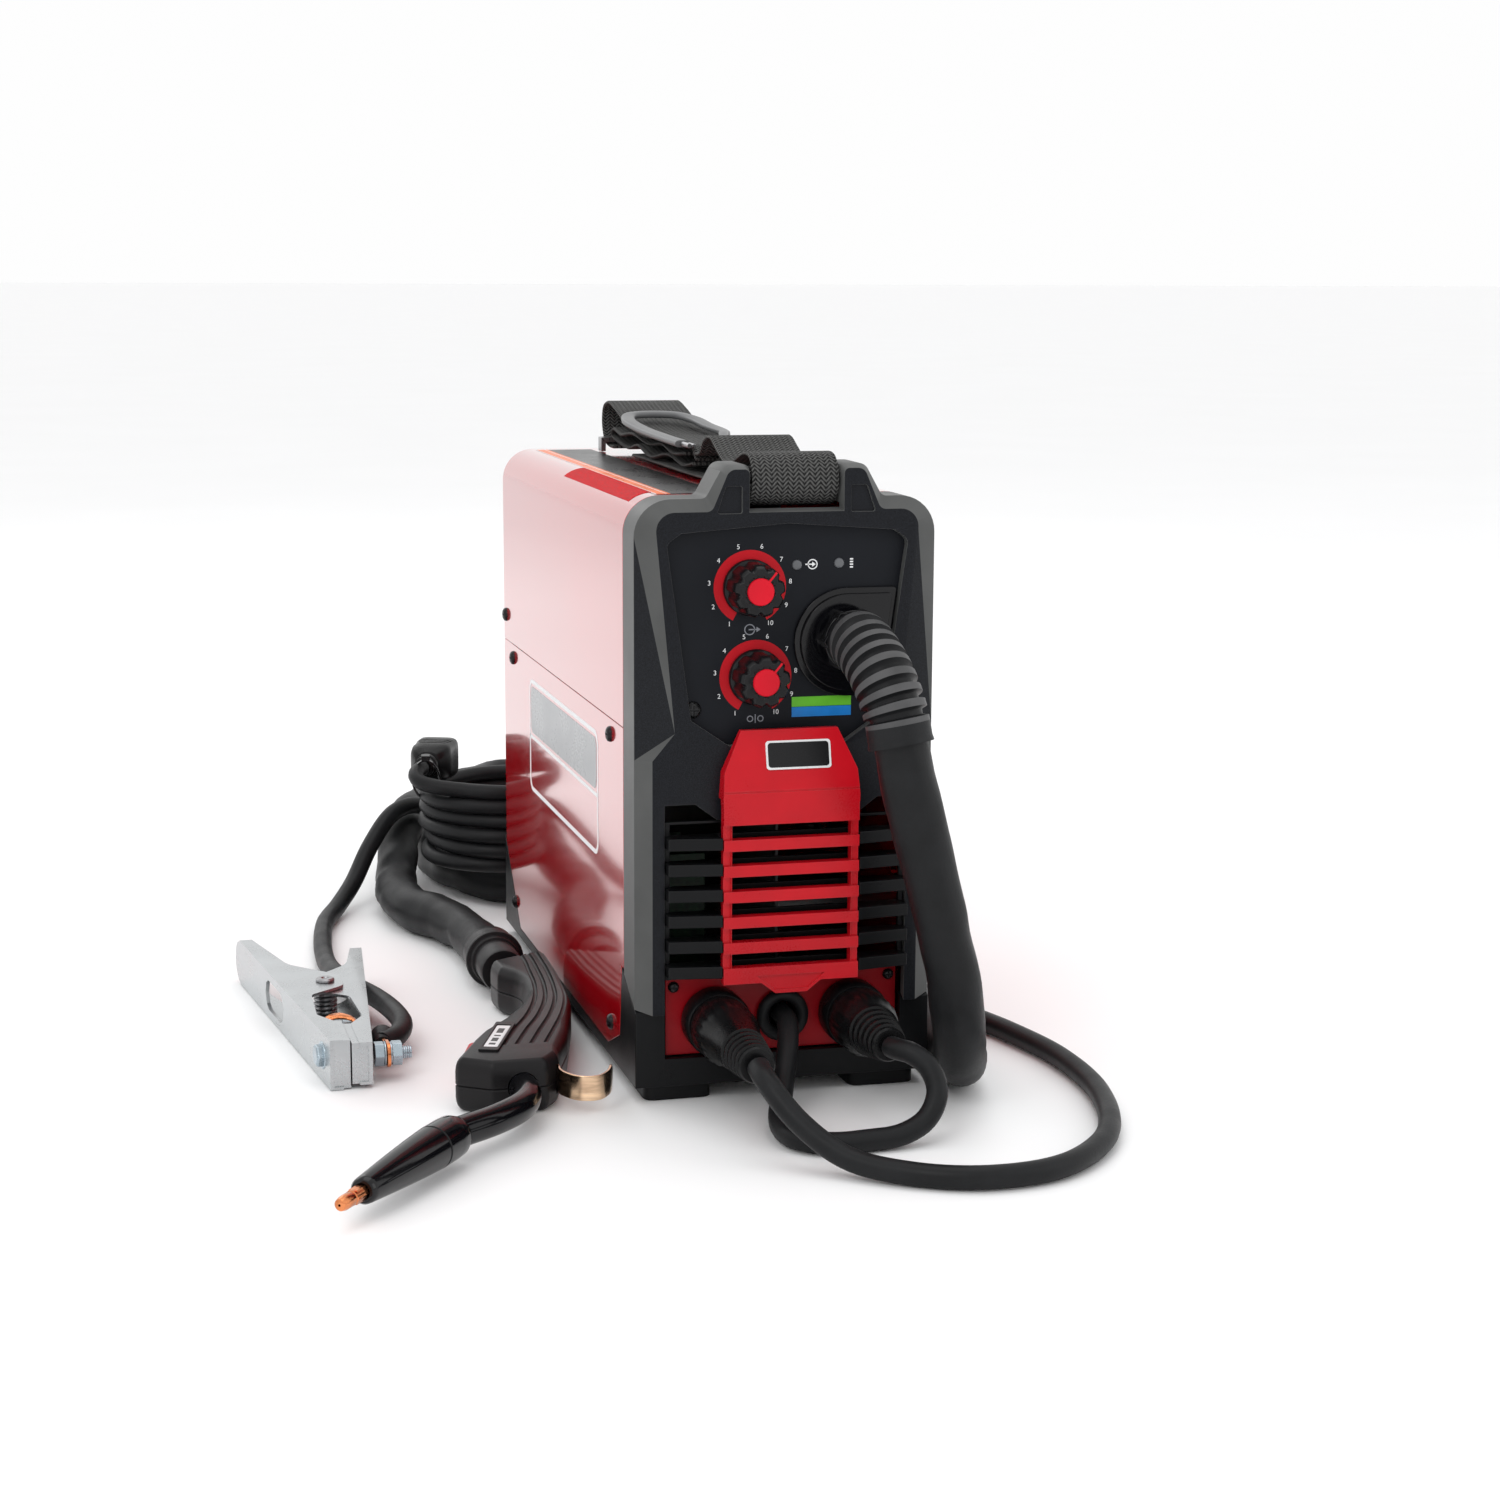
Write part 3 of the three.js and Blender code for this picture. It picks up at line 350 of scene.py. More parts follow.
def surface(name, color, rough, metal=0.0, coat=0.0, grain=(1400, 0.12), mottle=(30, 0.12),
            wear=0.0, stretch=(1, 1, 1), specular=0.3, height=None, tint=None):
    """A moulded, painted or metal surface: colour drift, uneven gloss, fine grain, rubbed edges."""
    material = bpy.data.materials.new(name)
    material.use_nodes = True
    tree = material.node_tree
    shader = tree.nodes["Principled BSDF"]
    coords = node(tree, "TexCoord").outputs["Object"]
    broad = noise_field(tree, coords, mottle[0], 4.0, stretch)
    fine = noise_field(tree, coords, grain[0], 2.0, stretch)
    shade = blend_colors(tree, remap(tree, broad, 0, 1), scaled(color, 1 - mottle[1]), scaled(color, 1 + mottle[1]))
    gloss = math_node(tree, "ADD", remap(tree, broad, rough * 0.85, rough * 1.12), remap(tree, fine, -0.03, 0.03))
    if wear:
        rounded = node(tree, "Bevel", samples=4, Radius=0.0007)
        true_normal = node(tree, "NewGeometry").outputs["Normal"]
        across = tree.nodes.new("ShaderNodeVectorMath")
        across.operation = "DOT_PRODUCT"
        tree.links.new(rounded.outputs["Normal"], across.inputs[0])
        tree.links.new(true_normal, across.inputs[1])
        rubbed = remap(tree, across.outputs["Value"], wear, 0.0, 0.86, 0.985)
        rubbed = math_node(tree, "MULTIPLY", rubbed, remap(tree, noise_field(tree, coords, 260, 3.0), 0.2, 1))
        shade = blend_colors(tree, rubbed, shade, tuple(c * 0.5 + 0.16 for c in color))
    if tint:
        shade = tint(tree, coords, shade)
    tree.links.new(shade, shader.inputs["Base Color"])
    tree.links.new(gloss, shader.inputs["Roughness"])
    shader.inputs["Metallic"].default_value = metal
    shader.inputs["Coat Weight"].default_value = coat
    shader.inputs["Coat Roughness"].default_value = 0.06
    shader.inputs["Specular IOR Level"].default_value = specular
    bump = node(tree, "Bump", Strength=grain[1], Distance=0.0004)
    relief = fine if height is None else math_node(tree, "ADD", fine, height(tree, coords))
    tree.links.new(relief, bump.inputs["Height"])
    tree.links.new(bump.outputs["Normal"], shader.inputs["Normal"])
    return material


def painted_front_shade_side_sheen(tree, coords, shade):
    """Painted light on the bezel by the way each face points: front faces get a near-black painted shade with a fine
    speckle, the sides keep the lighter grey as a painted sheen.
    """
    apart = node(tree, "SeparateXYZ")
    tree.links.new(node(tree, "NewGeometry").outputs["True Normal"], apart.inputs[0])
    facing = remap(tree, math_node(tree, "MULTIPLY", apart.outputs["Y"], -1.0), 0, 1, 0.9, 0.97)
    speckle = remap(tree, noise_field(tree, coords, 2600, 2.0), 0, 1, 0.42, 0.62)
    # painted shade for the front faces, with a fine speckle
    dark = blend_colors(tree, speckle, (0.0035, 0.004, 0.0055), (0.012, 0.0135, 0.018))
    return blend_colors(tree, facing, shade, dark)


def weave_height(tree, coords):
    """Herringbone webbing, from a UV map in millimetres: u across the strap, v along it."""
    apart = node(tree, "SeparateXYZ")
    tree.links.new(node(tree, "TexCoord").outputs["UV"], apart.inputs[0])
    column = math_node(tree, "PINGPONG", apart.outputs["X"], 2.7)
    slanted = math_node(tree, "MULTIPLY_ADD", column, 1.0, apart.outputs["Y"])
    yarn = math_node(tree, "SINE", math_node(tree, "MULTIPLY", slanted, 2 * pi / 2.1))
    groove = math_node(tree, "COSINE", math_node(tree, "MULTIPLY", column, 2 * pi / 2.7))
    return math_node(tree, "MULTIPLY_ADD", groove, -0.3, math_node(tree, "MULTIPLY", yarn, 0.9))


# Painted light on the webbing: the colour follows the weave height, with painted highlights on the crests and painted
# shade in the grooves.
def weave_painted_highlight_shade(tree, coords, shade):
    lit = remap(tree, weave_height(tree, coords), 0, 1, -0.8, 1.0)
    return blend_colors(tree, lit, (0.0008, 0.0008, 0.001), (0.12, 0.12, 0.116))


def wound_height(tree, coords):
    apart = node(tree, "SeparateXYZ")
    tree.links.new(coords, apart.inputs[0])
    return math_node(tree, "SINE", math_node(tree, "MULTIPLY", apart.outputs["X"], 2 * pi / 0.0011))


LOOKS = {
    "red_paint": surface("red powder coat", (0.47, 0.002, 0.008), 0.13, coat=1.0, specular=0.6, grain=(700, 0.025),
        mottle=(12, 0.05)),
    # the bezel's lighter grey is a painted sheen for its sides; its front faces get painted shade
    "bezel": surface("bezel plastic", (0.085, 0.087, 0.086), 0.4, grain=(2200, 0.1), wear=0.3, tint=painted_front_shade_side_sheen,
        specular=0.16),
    "case_plastic": surface("case plastic", (0.0045, 0.0048, 0.0055), 0.34, grain=(1700, 0.14), wear=0.08,
        specular=0.16),
    "panel_plastic": surface("panel plastic", (0.008, 0.0092, 0.0125), 0.5, grain=(2600, 0.14), specular=0.14),
    "knob_plastic": surface("knob plastic", (0.005, 0.005, 0.006), 0.32, grain=(2200, 0.1), wear=0.2, specular=0.25),
    "red_plastic": surface("red plastic", (0.56, 0.0035, 0.012), 0.32, grain=(1500, 0.08), wear=0.22, specular=0.25),
    # a darker red for the socket plate as painted shade: the lower front lies in shadow
    "socket_red": surface("socket plate red with painted shade", (0.3, 0.002, 0.007), 0.34, grain=(1500, 0.08), wear=0.1, specular=0.2),
    "cap_red": surface("knob cap red", (0.62, 0.004, 0.018), 0.45, grain=(3000, 0.25), specular=0.2),
    "dial_red": surface("printed red", (0.5, 0.008, 0.016), 0.5, grain=(2000, 0.04), specular=0.15),
    "ink_white": surface("printed white", (0.8, 0.81, 0.82), 0.5, grain=(2000, 0.03), mottle=(300, 0.04)),
    "ink_grey": surface("printed grey", (0.24, 0.25, 0.28), 0.45, grain=(2000, 0.03), mottle=(200, 0.06)),
    "socket_plastic": surface("socket plastic", (0.0045, 0.0045, 0.005), 0.3, grain=(1500, 0.12), wear=0.1,
        specular=0.2),
    "torch_plastic": surface("torch plastic", (0.0095, 0.0087, 0.0095), 0.36, grain=(1600, 0.16), wear=0.12,
        specular=0.2),
    "gloss_black": surface("gloss black", (0.003, 0.003, 0.004), 0.12, coat=0.15, grain=(500, 0.03), specular=0.25),
    "rubber": surface("lead rubber", (0.0105, 0.011, 0.012), 0.46, grain=(900, 0.16), mottle=(60, 0.25),
        specular=0.18),
    "relief_rib": surface("relief rib", (0.07, 0.07, 0.072), 0.5, grain=(900, 0.16), mottle=(70, 0.2)),
    "zinc": surface("zinc plate", (0.5, 0.52, 0.53), 0.3, metal=1.0, grain=(900, 0.1), mottle=(45, 0.07), wear=0.3),
    # a dark grey in place of zinc for the centre partition, as painted shade inside the case
    "inner_plate": surface("inner plate painted shade", (0.07, 0.072, 0.075), 0.42, grain=(900, 0.08), mottle=(20, 0.05),
        specular=0.2),
    "blue_zinc": surface("blued zinc", (0.4, 0.47, 0.52), 0.27, metal=1.0, grain=(900, 0.1), mottle=(60, 0.2),
        wear=0.4),
    "steel": surface("steel", (0.36, 0.36, 0.37), 0.3, metal=1.0, grain=(700, 0.1), stretch=(1, 8, 1),
        mottle=(40, 0.15)),
    "dark_steel": surface("black screw", (0.012, 0.012, 0.013), 0.26, metal=0.4, grain=(900, 0.1), wear=0.4),
    "copper": surface("copper", (0.72, 0.25, 0.1), 0.2, metal=1.0, grain=(900, 0.06), mottle=(120, 0.25)),
    "hook_copper": surface("hook strip", (0.82, 0.55, 0.36), 0.18, metal=1.0, grain=(900, 0.05), stretch=(1, 1, 6),
        mottle=(80, 0.3)),
    "brass": surface("brass", (0.62, 0.42, 0.14), 0.28, metal=1.0, grain=(800, 0.08), mottle=(80, 0.14)),
    # the webbing's colour carries painted highlights and painted shade from the weave
    "webbing": surface("webbing", (0.02, 0.02, 0.02), 0.7, grain=(2500, 1.0), height=weave_height, tint=weave_painted_highlight_shade,
        specular=0.3),
    "grey_plastic": surface("hook grey", (0.11, 0.112, 0.115), 0.36, grain=(1500, 0.1), wear=0.3),
    "circuit": surface("circuit board", (0.008, 0.035, 0.015), 0.4, grain=(500, 0.3), mottle=(220, 0.5)),
    "spool_plastic": surface("spool plastic", (0.012, 0.012, 0.014), 0.4, grain=(1300, 0.12), wear=0.2),
    "wound_wire": surface("wound wire", (0.5, 0.22, 0.12), 0.32, metal=1.0, grain=(600, 1.0), height=wound_height),
    "orange": surface("orange label", (0.85, 0.14, 0.004), 0.3, grain=(900, 0.03), mottle=(90, 0.12)),
    "black_label": surface("black label", (0.006, 0.006, 0.007), 0.3, grain=(900, 0.03)),
    "green_label": surface("green label", (0.13, 0.5, 0.03), 0.35, grain=(900, 0.03), mottle=(200, 0.06)),
    "blue_label": surface("blue label", (0.01, 0.2, 0.6), 0.35, grain=(900, 0.03), mottle=(200, 0.06)),
    "label_red": surface("red label", (0.5, 0.002, 0.006), 0.55, grain=(2600, 0.6), mottle=(900, 0.5), specular=0.06),
    "plate_grey": surface("plate grey", (0.36, 0.37, 0.38), 0.3, grain=(900, 0.03), mottle=(60, 0.02)),
    "lamp": surface("indicator lamp", (0.11, 0.115, 0.125), 0.22, coat=0.4, grain=(900, 0.05)),
}
SLOT_OF = {
    "bezel": "case_plastic", "cap_red": "red_plastic", "dial_red": "red_plastic", "socket_red": "red_plastic",
    "relief_rib": "rubber", "knob_plastic": "case_plastic", "dark_steel": "steel", "wound_wire": "copper",
    "hook_copper": "copper", "blue_zinc": "zinc", "inner_plate": "zinc",
}
RECORD_SLOTS = {m["slot"] for m in frame["record"]["materials"]}


def look(name):
    slot = SLOT_OF.get(name, name)
    return LOOKS[name], slot if slot in RECORD_SLOTS else None


# ---- camera, floor and light
def aim(obj, at, target):
    obj.location = at
    obj.rotation_euler = (Vector(target) - Vector(at)).to_track_quat("-Z", "Y").to_euler()


def make_camera():
    data = bpy.data.cameras.new("camera")
    data.lens = 66.65
    data.sensor_width = 36
    camera = bpy.data.objects.new("camera", data)
    bpy.context.scene.collection.objects.link(camera)
    camera.location = (-0.359, -1.449, 0.409)
    camera.rotation_euler = (radians(90 - 10.06), radians(-0.29), radians(-14.88))
    bpy.context.scene.camera = camera


def make_stage():
    reach = 40000
    data = prism([(-reach, -reach), (reach, -reach), (reach, reach), (-reach, reach)], "z", -20, 0)
    floor = plain_object("floor", data)
    floor.data.materials.append(surface("pale floor", (0.955, 0.955, 0.96), 0.5, grain=(300, 0.02), mottle=(3, 0.01)))
    world = bpy.data.worlds.new("studio")
    bpy.context.scene.world = world
    world.use_nodes = True
    background = world.node_tree.nodes["Background"]
    background.inputs["Color"].default_value = (1, 1, 1, 1)
    background.inputs["Strength"].default_value = 0.99
    bpy.context.scene.view_settings.view_transform = "Standard"
    lights = [("key", (-1.5, -1.7, 2.2), (1.2, 1.2), 13), ("fill", (1.9, -1.2, 1.1), (1.0, 1.4), 5),
              ("top", (0.1, 0.2, 2.4), (1.6, 1.6), 9), ("back", (-0.9, 2.1, 1.4), (1.6, 1.0), 6)]
    for name, at, size, power in lights:
        data = bpy.data.lights.new(name, "AREA")
        data.shape = "RECTANGLE"
        data.size, data.size_y = size
        data.energy = power
        light = bpy.data.objects.new(name, data)
        bpy.context.scene.collection.objects.link(light)
        aim(light, at, (0, 0, 0.12))


# ---- leads
GUN_R, WORK_R, POLARITY_R, MAINS_R = 13, 5.5, 5.25, 4.75


def smoothstep(t):
    t = min(1.0, max(0.0, t))
    return t * t * (3 - 2 * t)


def turns(centre, radius, start, end, height, sway=0.0):
    """Points on a coil every 12 degrees, from one angle to the other.

    `height(angle)` gives z and `sway` pulls the radius in.
    """
    count = max(2, int(abs(end - start) / 12))
    points = []
    for k in range(count + 1):
        angle = start + (end - start) * k / count
        a = radians(angle)
        r = radius - sway * (0.5 + 0.5 * sin(0.83 * a) * cos(2.37 * a))
        points.append((centre[0] + r * cos(a), centre[1] + r * sin(a), height(angle)))
    return points


GUN_ROUTE = [
    (41.2, -221.2, 187), (48, -224, 155), (55, -226, 125), (62, -228, 95), (69, -227, 66), (75, -219, 38),
    (83, -200, 20), (91, -172, 13.6), (95, -130, 13.4), (97, -70, 13.4), (97, 0, 13.4), (96, 80, 13.4),
    (96, 140, 13.4), (100, 180, 13.4), (110, 215, 13.4),
    *turns((50, 366), 145, -48, 510, lambda a: 13.4 + 26.6 * smoothstep((a - 285) / 22)),
    (-92, 412, 40.2), (-104, 387, 40.4), (-112.5, 362, 39.8), (-120.5, 337, 34), (-126, 312, 22),
    (-130, 288, 14.5), (-133, 262, 13.4), (-133, 236, 13.4), (-128, 208, 13.4), (-118, 185, 13.4),
    (-110.5, 162, 13.4), (-106, 135, 13.6), (-104.5, 108, 14.4), (-104, 85.5, 15.4),
]
WORK_ROUTE = [
    (-35, -252.6, 40), (-34.2, -264, 36.5), (-24, -281, 22), (-6, -299, 9), (18, -318, 5.9), (48, -331, 5.9),
    (85, -326, 5.9), (122, -291, 5.9), (145, -230, 5.9), (150, -165, 5.9), (141, -110, 5.9), (127, -60, 5.9),
    (119, 0, 5.9), (118, 70, 5.9), (120, 110, 10), (121, 145, 25), (117, 180, 34.5), (106, 212, 36.5),
    (99, 240, 36.5), (96, 262, 28), (97, 285, 14), (103, 308, 7.5),
    *turns((50, 366), 60, -20, 840, lambda a: 5.9 + 23 * smoothstep(a / 840)),
    (-14, 402, 29.5), (-32, 388, 30.5), (-52, 371, 33), (-73, 358, 33.5), (-92, 347, 44), (-110, 335, 54),
    (-127, 321, 52), (-144, 302, 36), (-158, 281, 17), (-171, 256, 7.5), (-182, 224, 5.9), (-190, 170, 5.9),
    (-193, 125, 6), (-192.5, 90, 8.5), (-190, 60, 12), (-185, 32, 13.2), (-178, 8, 13.4), (-173, -20, 13.4),
    (-172, -45, 13.2), (-178, -66, 13), (-186.6, -76.5, 13),
]
POLARITY_ROUTE = [
    (0, -162, 40), (0, -176, 39), (-4, -192, 31), (-12, -212, 16), (-20, -236, 6.5), (-18, -256, 5.6),
    (-4, -267, 5.6), (14, -267, 5.6), (31, -266, 6.8), (44, -263.5, 13), (50, -259.5, 24), (48, -253, 34),
    (41.5, -246.5, 39.6), (36.4, -240.5, 40.3), (35, -234.8, 40),
]
MAINS_ROUTE = [
    (35, 180, 66), (35, 196, 66), (34, 210, 63), (28, 223, 55), (16, 231, 45), (2, 233.4, 38), (-14, 234, 33.5),
    *turns((-60, 284), 52, -68, -1930, lambda a: 31.6 + 9.25 * (-68 - a) / 360, 6.0),
    (-107, 253, 81), (-117, 262, 83), (-119, 270, 86), (-116, 277, 88), (-112.7, 281.2, 88.5),
]


def lead(name, route, radius, look_name, sides=16, step=4.0, wrinkle=0.0):
    """A round lead along its route; `wrinkle` makes its sleeve baggy by that many millimetres."""
    line = catmull(route, step)

    def section(i, share):
        points = []
        for k in range(sides):
            angle = 2 * pi * k / sides
            r = radius
            if wrinkle:
                where = Vector((line[i][0] * 0.03 + cos(angle) * 0.55, line[i][1] * 0.03 + sin(angle) * 0.55,
                    share * 60))
                r += wrinkle * (noise.noise(where) + 0.5 * noise.noise(where * 2.3))
            points.append((r * cos(angle), r * sin(angle)))
        return points

    vertices, faces = sweep(line, section)
    resting = [(v[0], v[1], max(v[2], 0.05)) for v in vertices]
    obj = piece(name, (resting, faces), look_name, sharp=60)
    return obj, [tuple(c * MM for c in p) for p in line]


def make_leads():
    gun, gun_path = lead("gun_cable", GUN_ROUTE, GUN_R, "rubber", sides=24, step=5.0, wrinkle=1.6)
    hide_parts("gun_cable_front", "gun_cable_coil", "gun_cable_rear")
    work, work_path = lead("work_lead", WORK_ROUTE, WORK_R, "rubber")
    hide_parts("work_lead_front", "work_lead_coil", "work_lead_rear")
    polarity, polarity_path = lead("polarity_jumper", POLARITY_ROUTE, POLARITY_R, "rubber", step=3.0)
    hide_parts("polarity_lead")
    mains, mains_path = lead("mains_lead", MAINS_ROUTE, MAINS_R, "rubber", step=3.5)
    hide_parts("mains_cord", "mains_cord_coil", "mains_cord_end")
    return {
        "gun": (gun, gun_path, GUN_R), "work": (work, work_path, WORK_R),
        "polarity": (polarity, polarity_path, POLARITY_R), "mains": (mains, mains_path, MAINS_R),
    }


make_camera()
leads = make_leads()
make_stage()

# ---- case, bezel and tray
def case_section(inset, bottom, steps=14):
    return outline(mirror_x([(HALF_W - inset, bottom), (HALF_W - inset, CASE_TOP - inset, CORNER_R - inset)]), steps)


def make_case():
    sheet = carved("cover", prism(case_section(0, 14), "y", CASE_FRONT, CASE_REAR),
                   prism(case_section(SHEET, 15.5), "y", CASE_FRONT - 1, CASE_REAR + 1),
                   box(-76, 0, -300, 300, 0, SEAM_Z), box(-1, 76, -300, 300, 0, 264))
    knuckles = []
    for y0, y1 in ((-89.5, -60), (60, 89.5)):
        knuckles += [rod("y", 72.5, 261, 2.4, y0, y1, 24), box(73.4, 74.9, y0, y1, 261, 265)]
    piece("case_cover", merged(sheet, *knuckles), "red_paint", stands_for="top_cover", bevel=0.35)
    refined("lower_shell", "red_paint", bevel=0.35)
    refined("side_door", "red_paint", "side_door", bevel=0.35)
    refined("rear_panel", "red_paint", bevel=0.25)
    refined("base_tray", "case_plastic", bevel=1.6, segments=3)


def make_bezel():
    rows = [((75, 30), (67, 30), 0), ((75, 171), (67, 171), 0), ((75, 184), (56, 184), 0),
            ((75, 296), (66, 290), (18, 9)), ((44, 296), (42, 290), (4, 4)), ((35, 312), (33.5, 310), (6, 5)),
            ((22.5, 312), (23.5, 310), (3, 2.5)), ((22.5, 291), (23.5, 289.5), 0)]
    half = [[(*row[k], row[2][k] if row[2] else 0) for row in rows] for k in (0, 1)]
    outer, front = [outline([(x + HORNS_X if z > 289 and abs(x) < 50 else x, z, r) for x, z, r in mirror_x(h)],
        10) for h in half]
    rings = [[(x, CASE_FRONT - 0.3, z) for x, z in outer], [(x, BEZEL_STEP, z) for x, z in outer],
             [(x, BEZEL_FRONT, z) for x, z in front]]
    window = outline(mirror_x([(29, 177), (48, 190), (60, 275, 4), (53, 280), (0.01, 284)]), 6)
    lower_window = outline(mirror_x([(61, 20), (61, 149), (46, 149), (35, 141)]))
    pads = [[(HORNS_X + s * x, z) for x, z in outline([(27, 289, 1), (39.5, 289, 1), (35, 302, 1.5), (27, 302, 1)],
        4)] for s in (1, -1)]
    tray = [(-200, -10), (-200, 31.9), (-170, 46.4), (-138, 62.1), (-120, 62.1), (-120, -10)]
    body = carved("bezel", stacked(rings),
                  prism(outline(mirror_x([(72, 20), (72, 293, 15)]), 10), "y", BEZEL_STEP, CASE_FRONT + 1),
                  prism(window, "y", BEZEL_FRONT - 1, BEZEL_STEP + 1),
                  prism(lower_window, "y", BEZEL_FRONT - 1, BEZEL_STEP + 1),
                  *[prism(p, "y", BEZEL_FRONT - 1, BEZEL_FRONT + 1.5) for p in pads],
                  prism(tray, "x", -76, 76), rod("x", -156, 304.5, 3.5, HORNS_X - 34, HORNS_X + 34, 24))
    piece("bezel", body, "bezel", stands_for="front_bezel", bevel=0.7, segments=3, sharp=30)
    piece("handle_bar", rod("x", -156, 304.5, 3, HORNS_X - 33.5, HORNS_X + 33.5), "steel",
        stands_for="front_handle_bar", bevel=0.5)


def screw(name, at, direction, r=4.0, look_name="dark_steel", body="machine"):
    """A pan-head screw with a cross recess."""
    head = turned([(0, -1.2), (r, -1.2), (r, 0.5), (r * 0.9, 1.5), (r * 0.6, 2.2), (0, 2.4)], (0, 0, 0), (0, 0, 1),
        28)
    cross = [box(-r * 0.6, r * 0.6, -0.5, 0.5, 1.2, 4), box(-0.5, 0.5, -r * 0.6, r * 0.6, 1.2, 4)]
    cut = carved(name, head, *cross)
    turn = Matrix.Translation(Vector(at)) @ Vector(direction).to_track_quat("Z", "Y").to_matrix().to_4x4()
    return piece(name, moved(cut, turn), look_name, body, sharp=40)


def make_screws():
    for i, (y, z) in enumerate(((160, 175), (-114, 175), (160, 27), (-114, 27), (183, 198))):
        screw(f"left_screw_{i}", (-HALF_W, y, z), (-1, 0, 0))
    for i, (y, z) in enumerate(((178, 230), (178, 60), (-138.5, 80))):
        screw(f"right_screw_{i}", (HALF_W, y, z), (1, 0, 0), 3.4)
    screw("panel_screw", (-46, PANEL_Y, 194.5), (0, -1, 0), 4.2)
    for i, (x, z) in enumerate(((-55, 57), (55, 57))):
        screw(f"socket_screw_{i}", (x, -165.5, z), (0, -1, 0), 2.8)
    for i, (x, z) in enumerate(((-64, 280), (64, 280), (-64, 30), (64, 30), (-64, 160), (64, 160))):
        screw(f"rear_screw_{i}", (x, 175.5, z), (0, 1, 0), 3.2)


# ---- control panel
def flat_print(name, mesh, look_name):
    return piece(name, mesh, look_name)


def arc_band(cx, cz, inner, outer, start, end, n=40):
    """A flat ring sector; angles are degrees clockwise from the top, as seen from the front."""
    def at(r, degrees):
        a = radians(90 - degrees)
        return cx + r * cos(a), cz + r * sin(a)
    steps = [start + (end - start) * k / n for k in range(n + 1)]
    return prism([at(outer, d) for d in steps] + [at(inner, d) for d in reversed(steps)], "y", *PRINT)


def text(name, words, x, z, size, look_name):
    curve = bpy.data.curves.new(name, "FONT")
    curve.body = words
    curve.size = size * MM
    curve.extrude = 0.05 * MM
    curve.align_x = curve.align_y = "CENTER"
    material, _ = look(look_name)
    curve.materials.append(material)
    obj = bpy.data.objects.new(name, curve)
    bpy.context.scene.collection.objects.link(obj)
    obj.location = (x * MM, PRINT[0] * MM, z * MM)
    obj.rotation_euler = (pi / 2, 0, 0)
    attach(obj, "machine")
    return obj


def make_dials():
    y = PANEL_Y
    for label, (cx, cz) in DIALS.items():
        flat_print(label + "_scale", arc_band(cx, cz, 12.5, 18.0, -152, 152), "dial_red")
        for k in range(10):
            angle = radians(90 - (-150 + k * 300 / 9))
            text(f"{label}_mark_{k + 1}", str(k + 1), cx + 20.3 * cos(angle), cz + 20.3 * sin(angle), 3.3,
                "ink_white")
    cx, cz = DIALS["voltage_knob"]
    flat_print("wire_icon_ring", arc_band(cx, cz - 20.5, 2.2, 2.7, 0, 359.9), "ink_grey")
    flat_print("wire_icon_arrow", prism([(cx - 0.5, cz - 20.8), (cx + 3.4, cz - 20.8), (cx + 3.4, cz - 21.8),
               (cx + 5.4, cz - 20.5), (cx + 3.4, cz - 19.2), (cx + 3.4, cz - 20.2), (cx - 0.5, cz - 20.2)], "y",
                   *PRINT), "ink_grey")
    cx, cz = DIALS["wire_speed_knob"]
    for k, dx in enumerate((-2.6, 2.6)):
        flat_print(f"feed_icon_{k}", arc_band(cx + dx, cz - 20.5, 1.1, 1.6, 0, 359.9), "ink_grey")
    flat_print("feed_icon_line", prism([(cx - 0.25, cz - 22.6), (cx + 0.25, cz - 22.6), (cx + 0.25, cz - 18.4),
        (cx - 0.25, cz - 18.4)], "y", *PRINT), "ink_grey")
    for k, (x, z) in enumerate(((5.6, 263.3), (26.7, 263.8))):
        dome = turned([(2.5, -0.4), (2.5, 0.2), (2.2, 0.7), (1.3, 1.05), (0, 1.15)], (x, y, z), (0, -1, 0), 32)
        piece(f"indicator_{k}", dome, "lamp")
    flat_print("power_icon_ring", arc_band(13.4, 263.5, 2.0, 2.5, 0, 359.9), "ink_white")
    flat_print("power_icon_arrow", prism([(9.8, 263.2), (13.2, 263.2), (13.2, 262.3), (15, 263.5), (13.2, 264.7),
        (13.2, 263.8), (9.8, 263.8)], "y", *PRINT), "ink_white")
    for k in range(4):
        z = 261.4 + k * 1.3
        flat_print(f"heat_icon_{k}", prism([(32.2, z), (33.8, z), (33.8, z + 0.7), (32.2, z + 0.7)], "y", *PRINT),
            "ink_white")
    flat_print("setting_strip_green", prism([(3.5, 194.2), (33.5, 194.2), (33.5, 199), (3.5, 199)], "y", *PRINT),
        "green_label")
    flat_print("setting_strip_blue", prism([(3.5, 189.2), (33.5, 189.2), (33.5, 194), (3.5, 194)], "y", *PRINT),
        "blue_label")


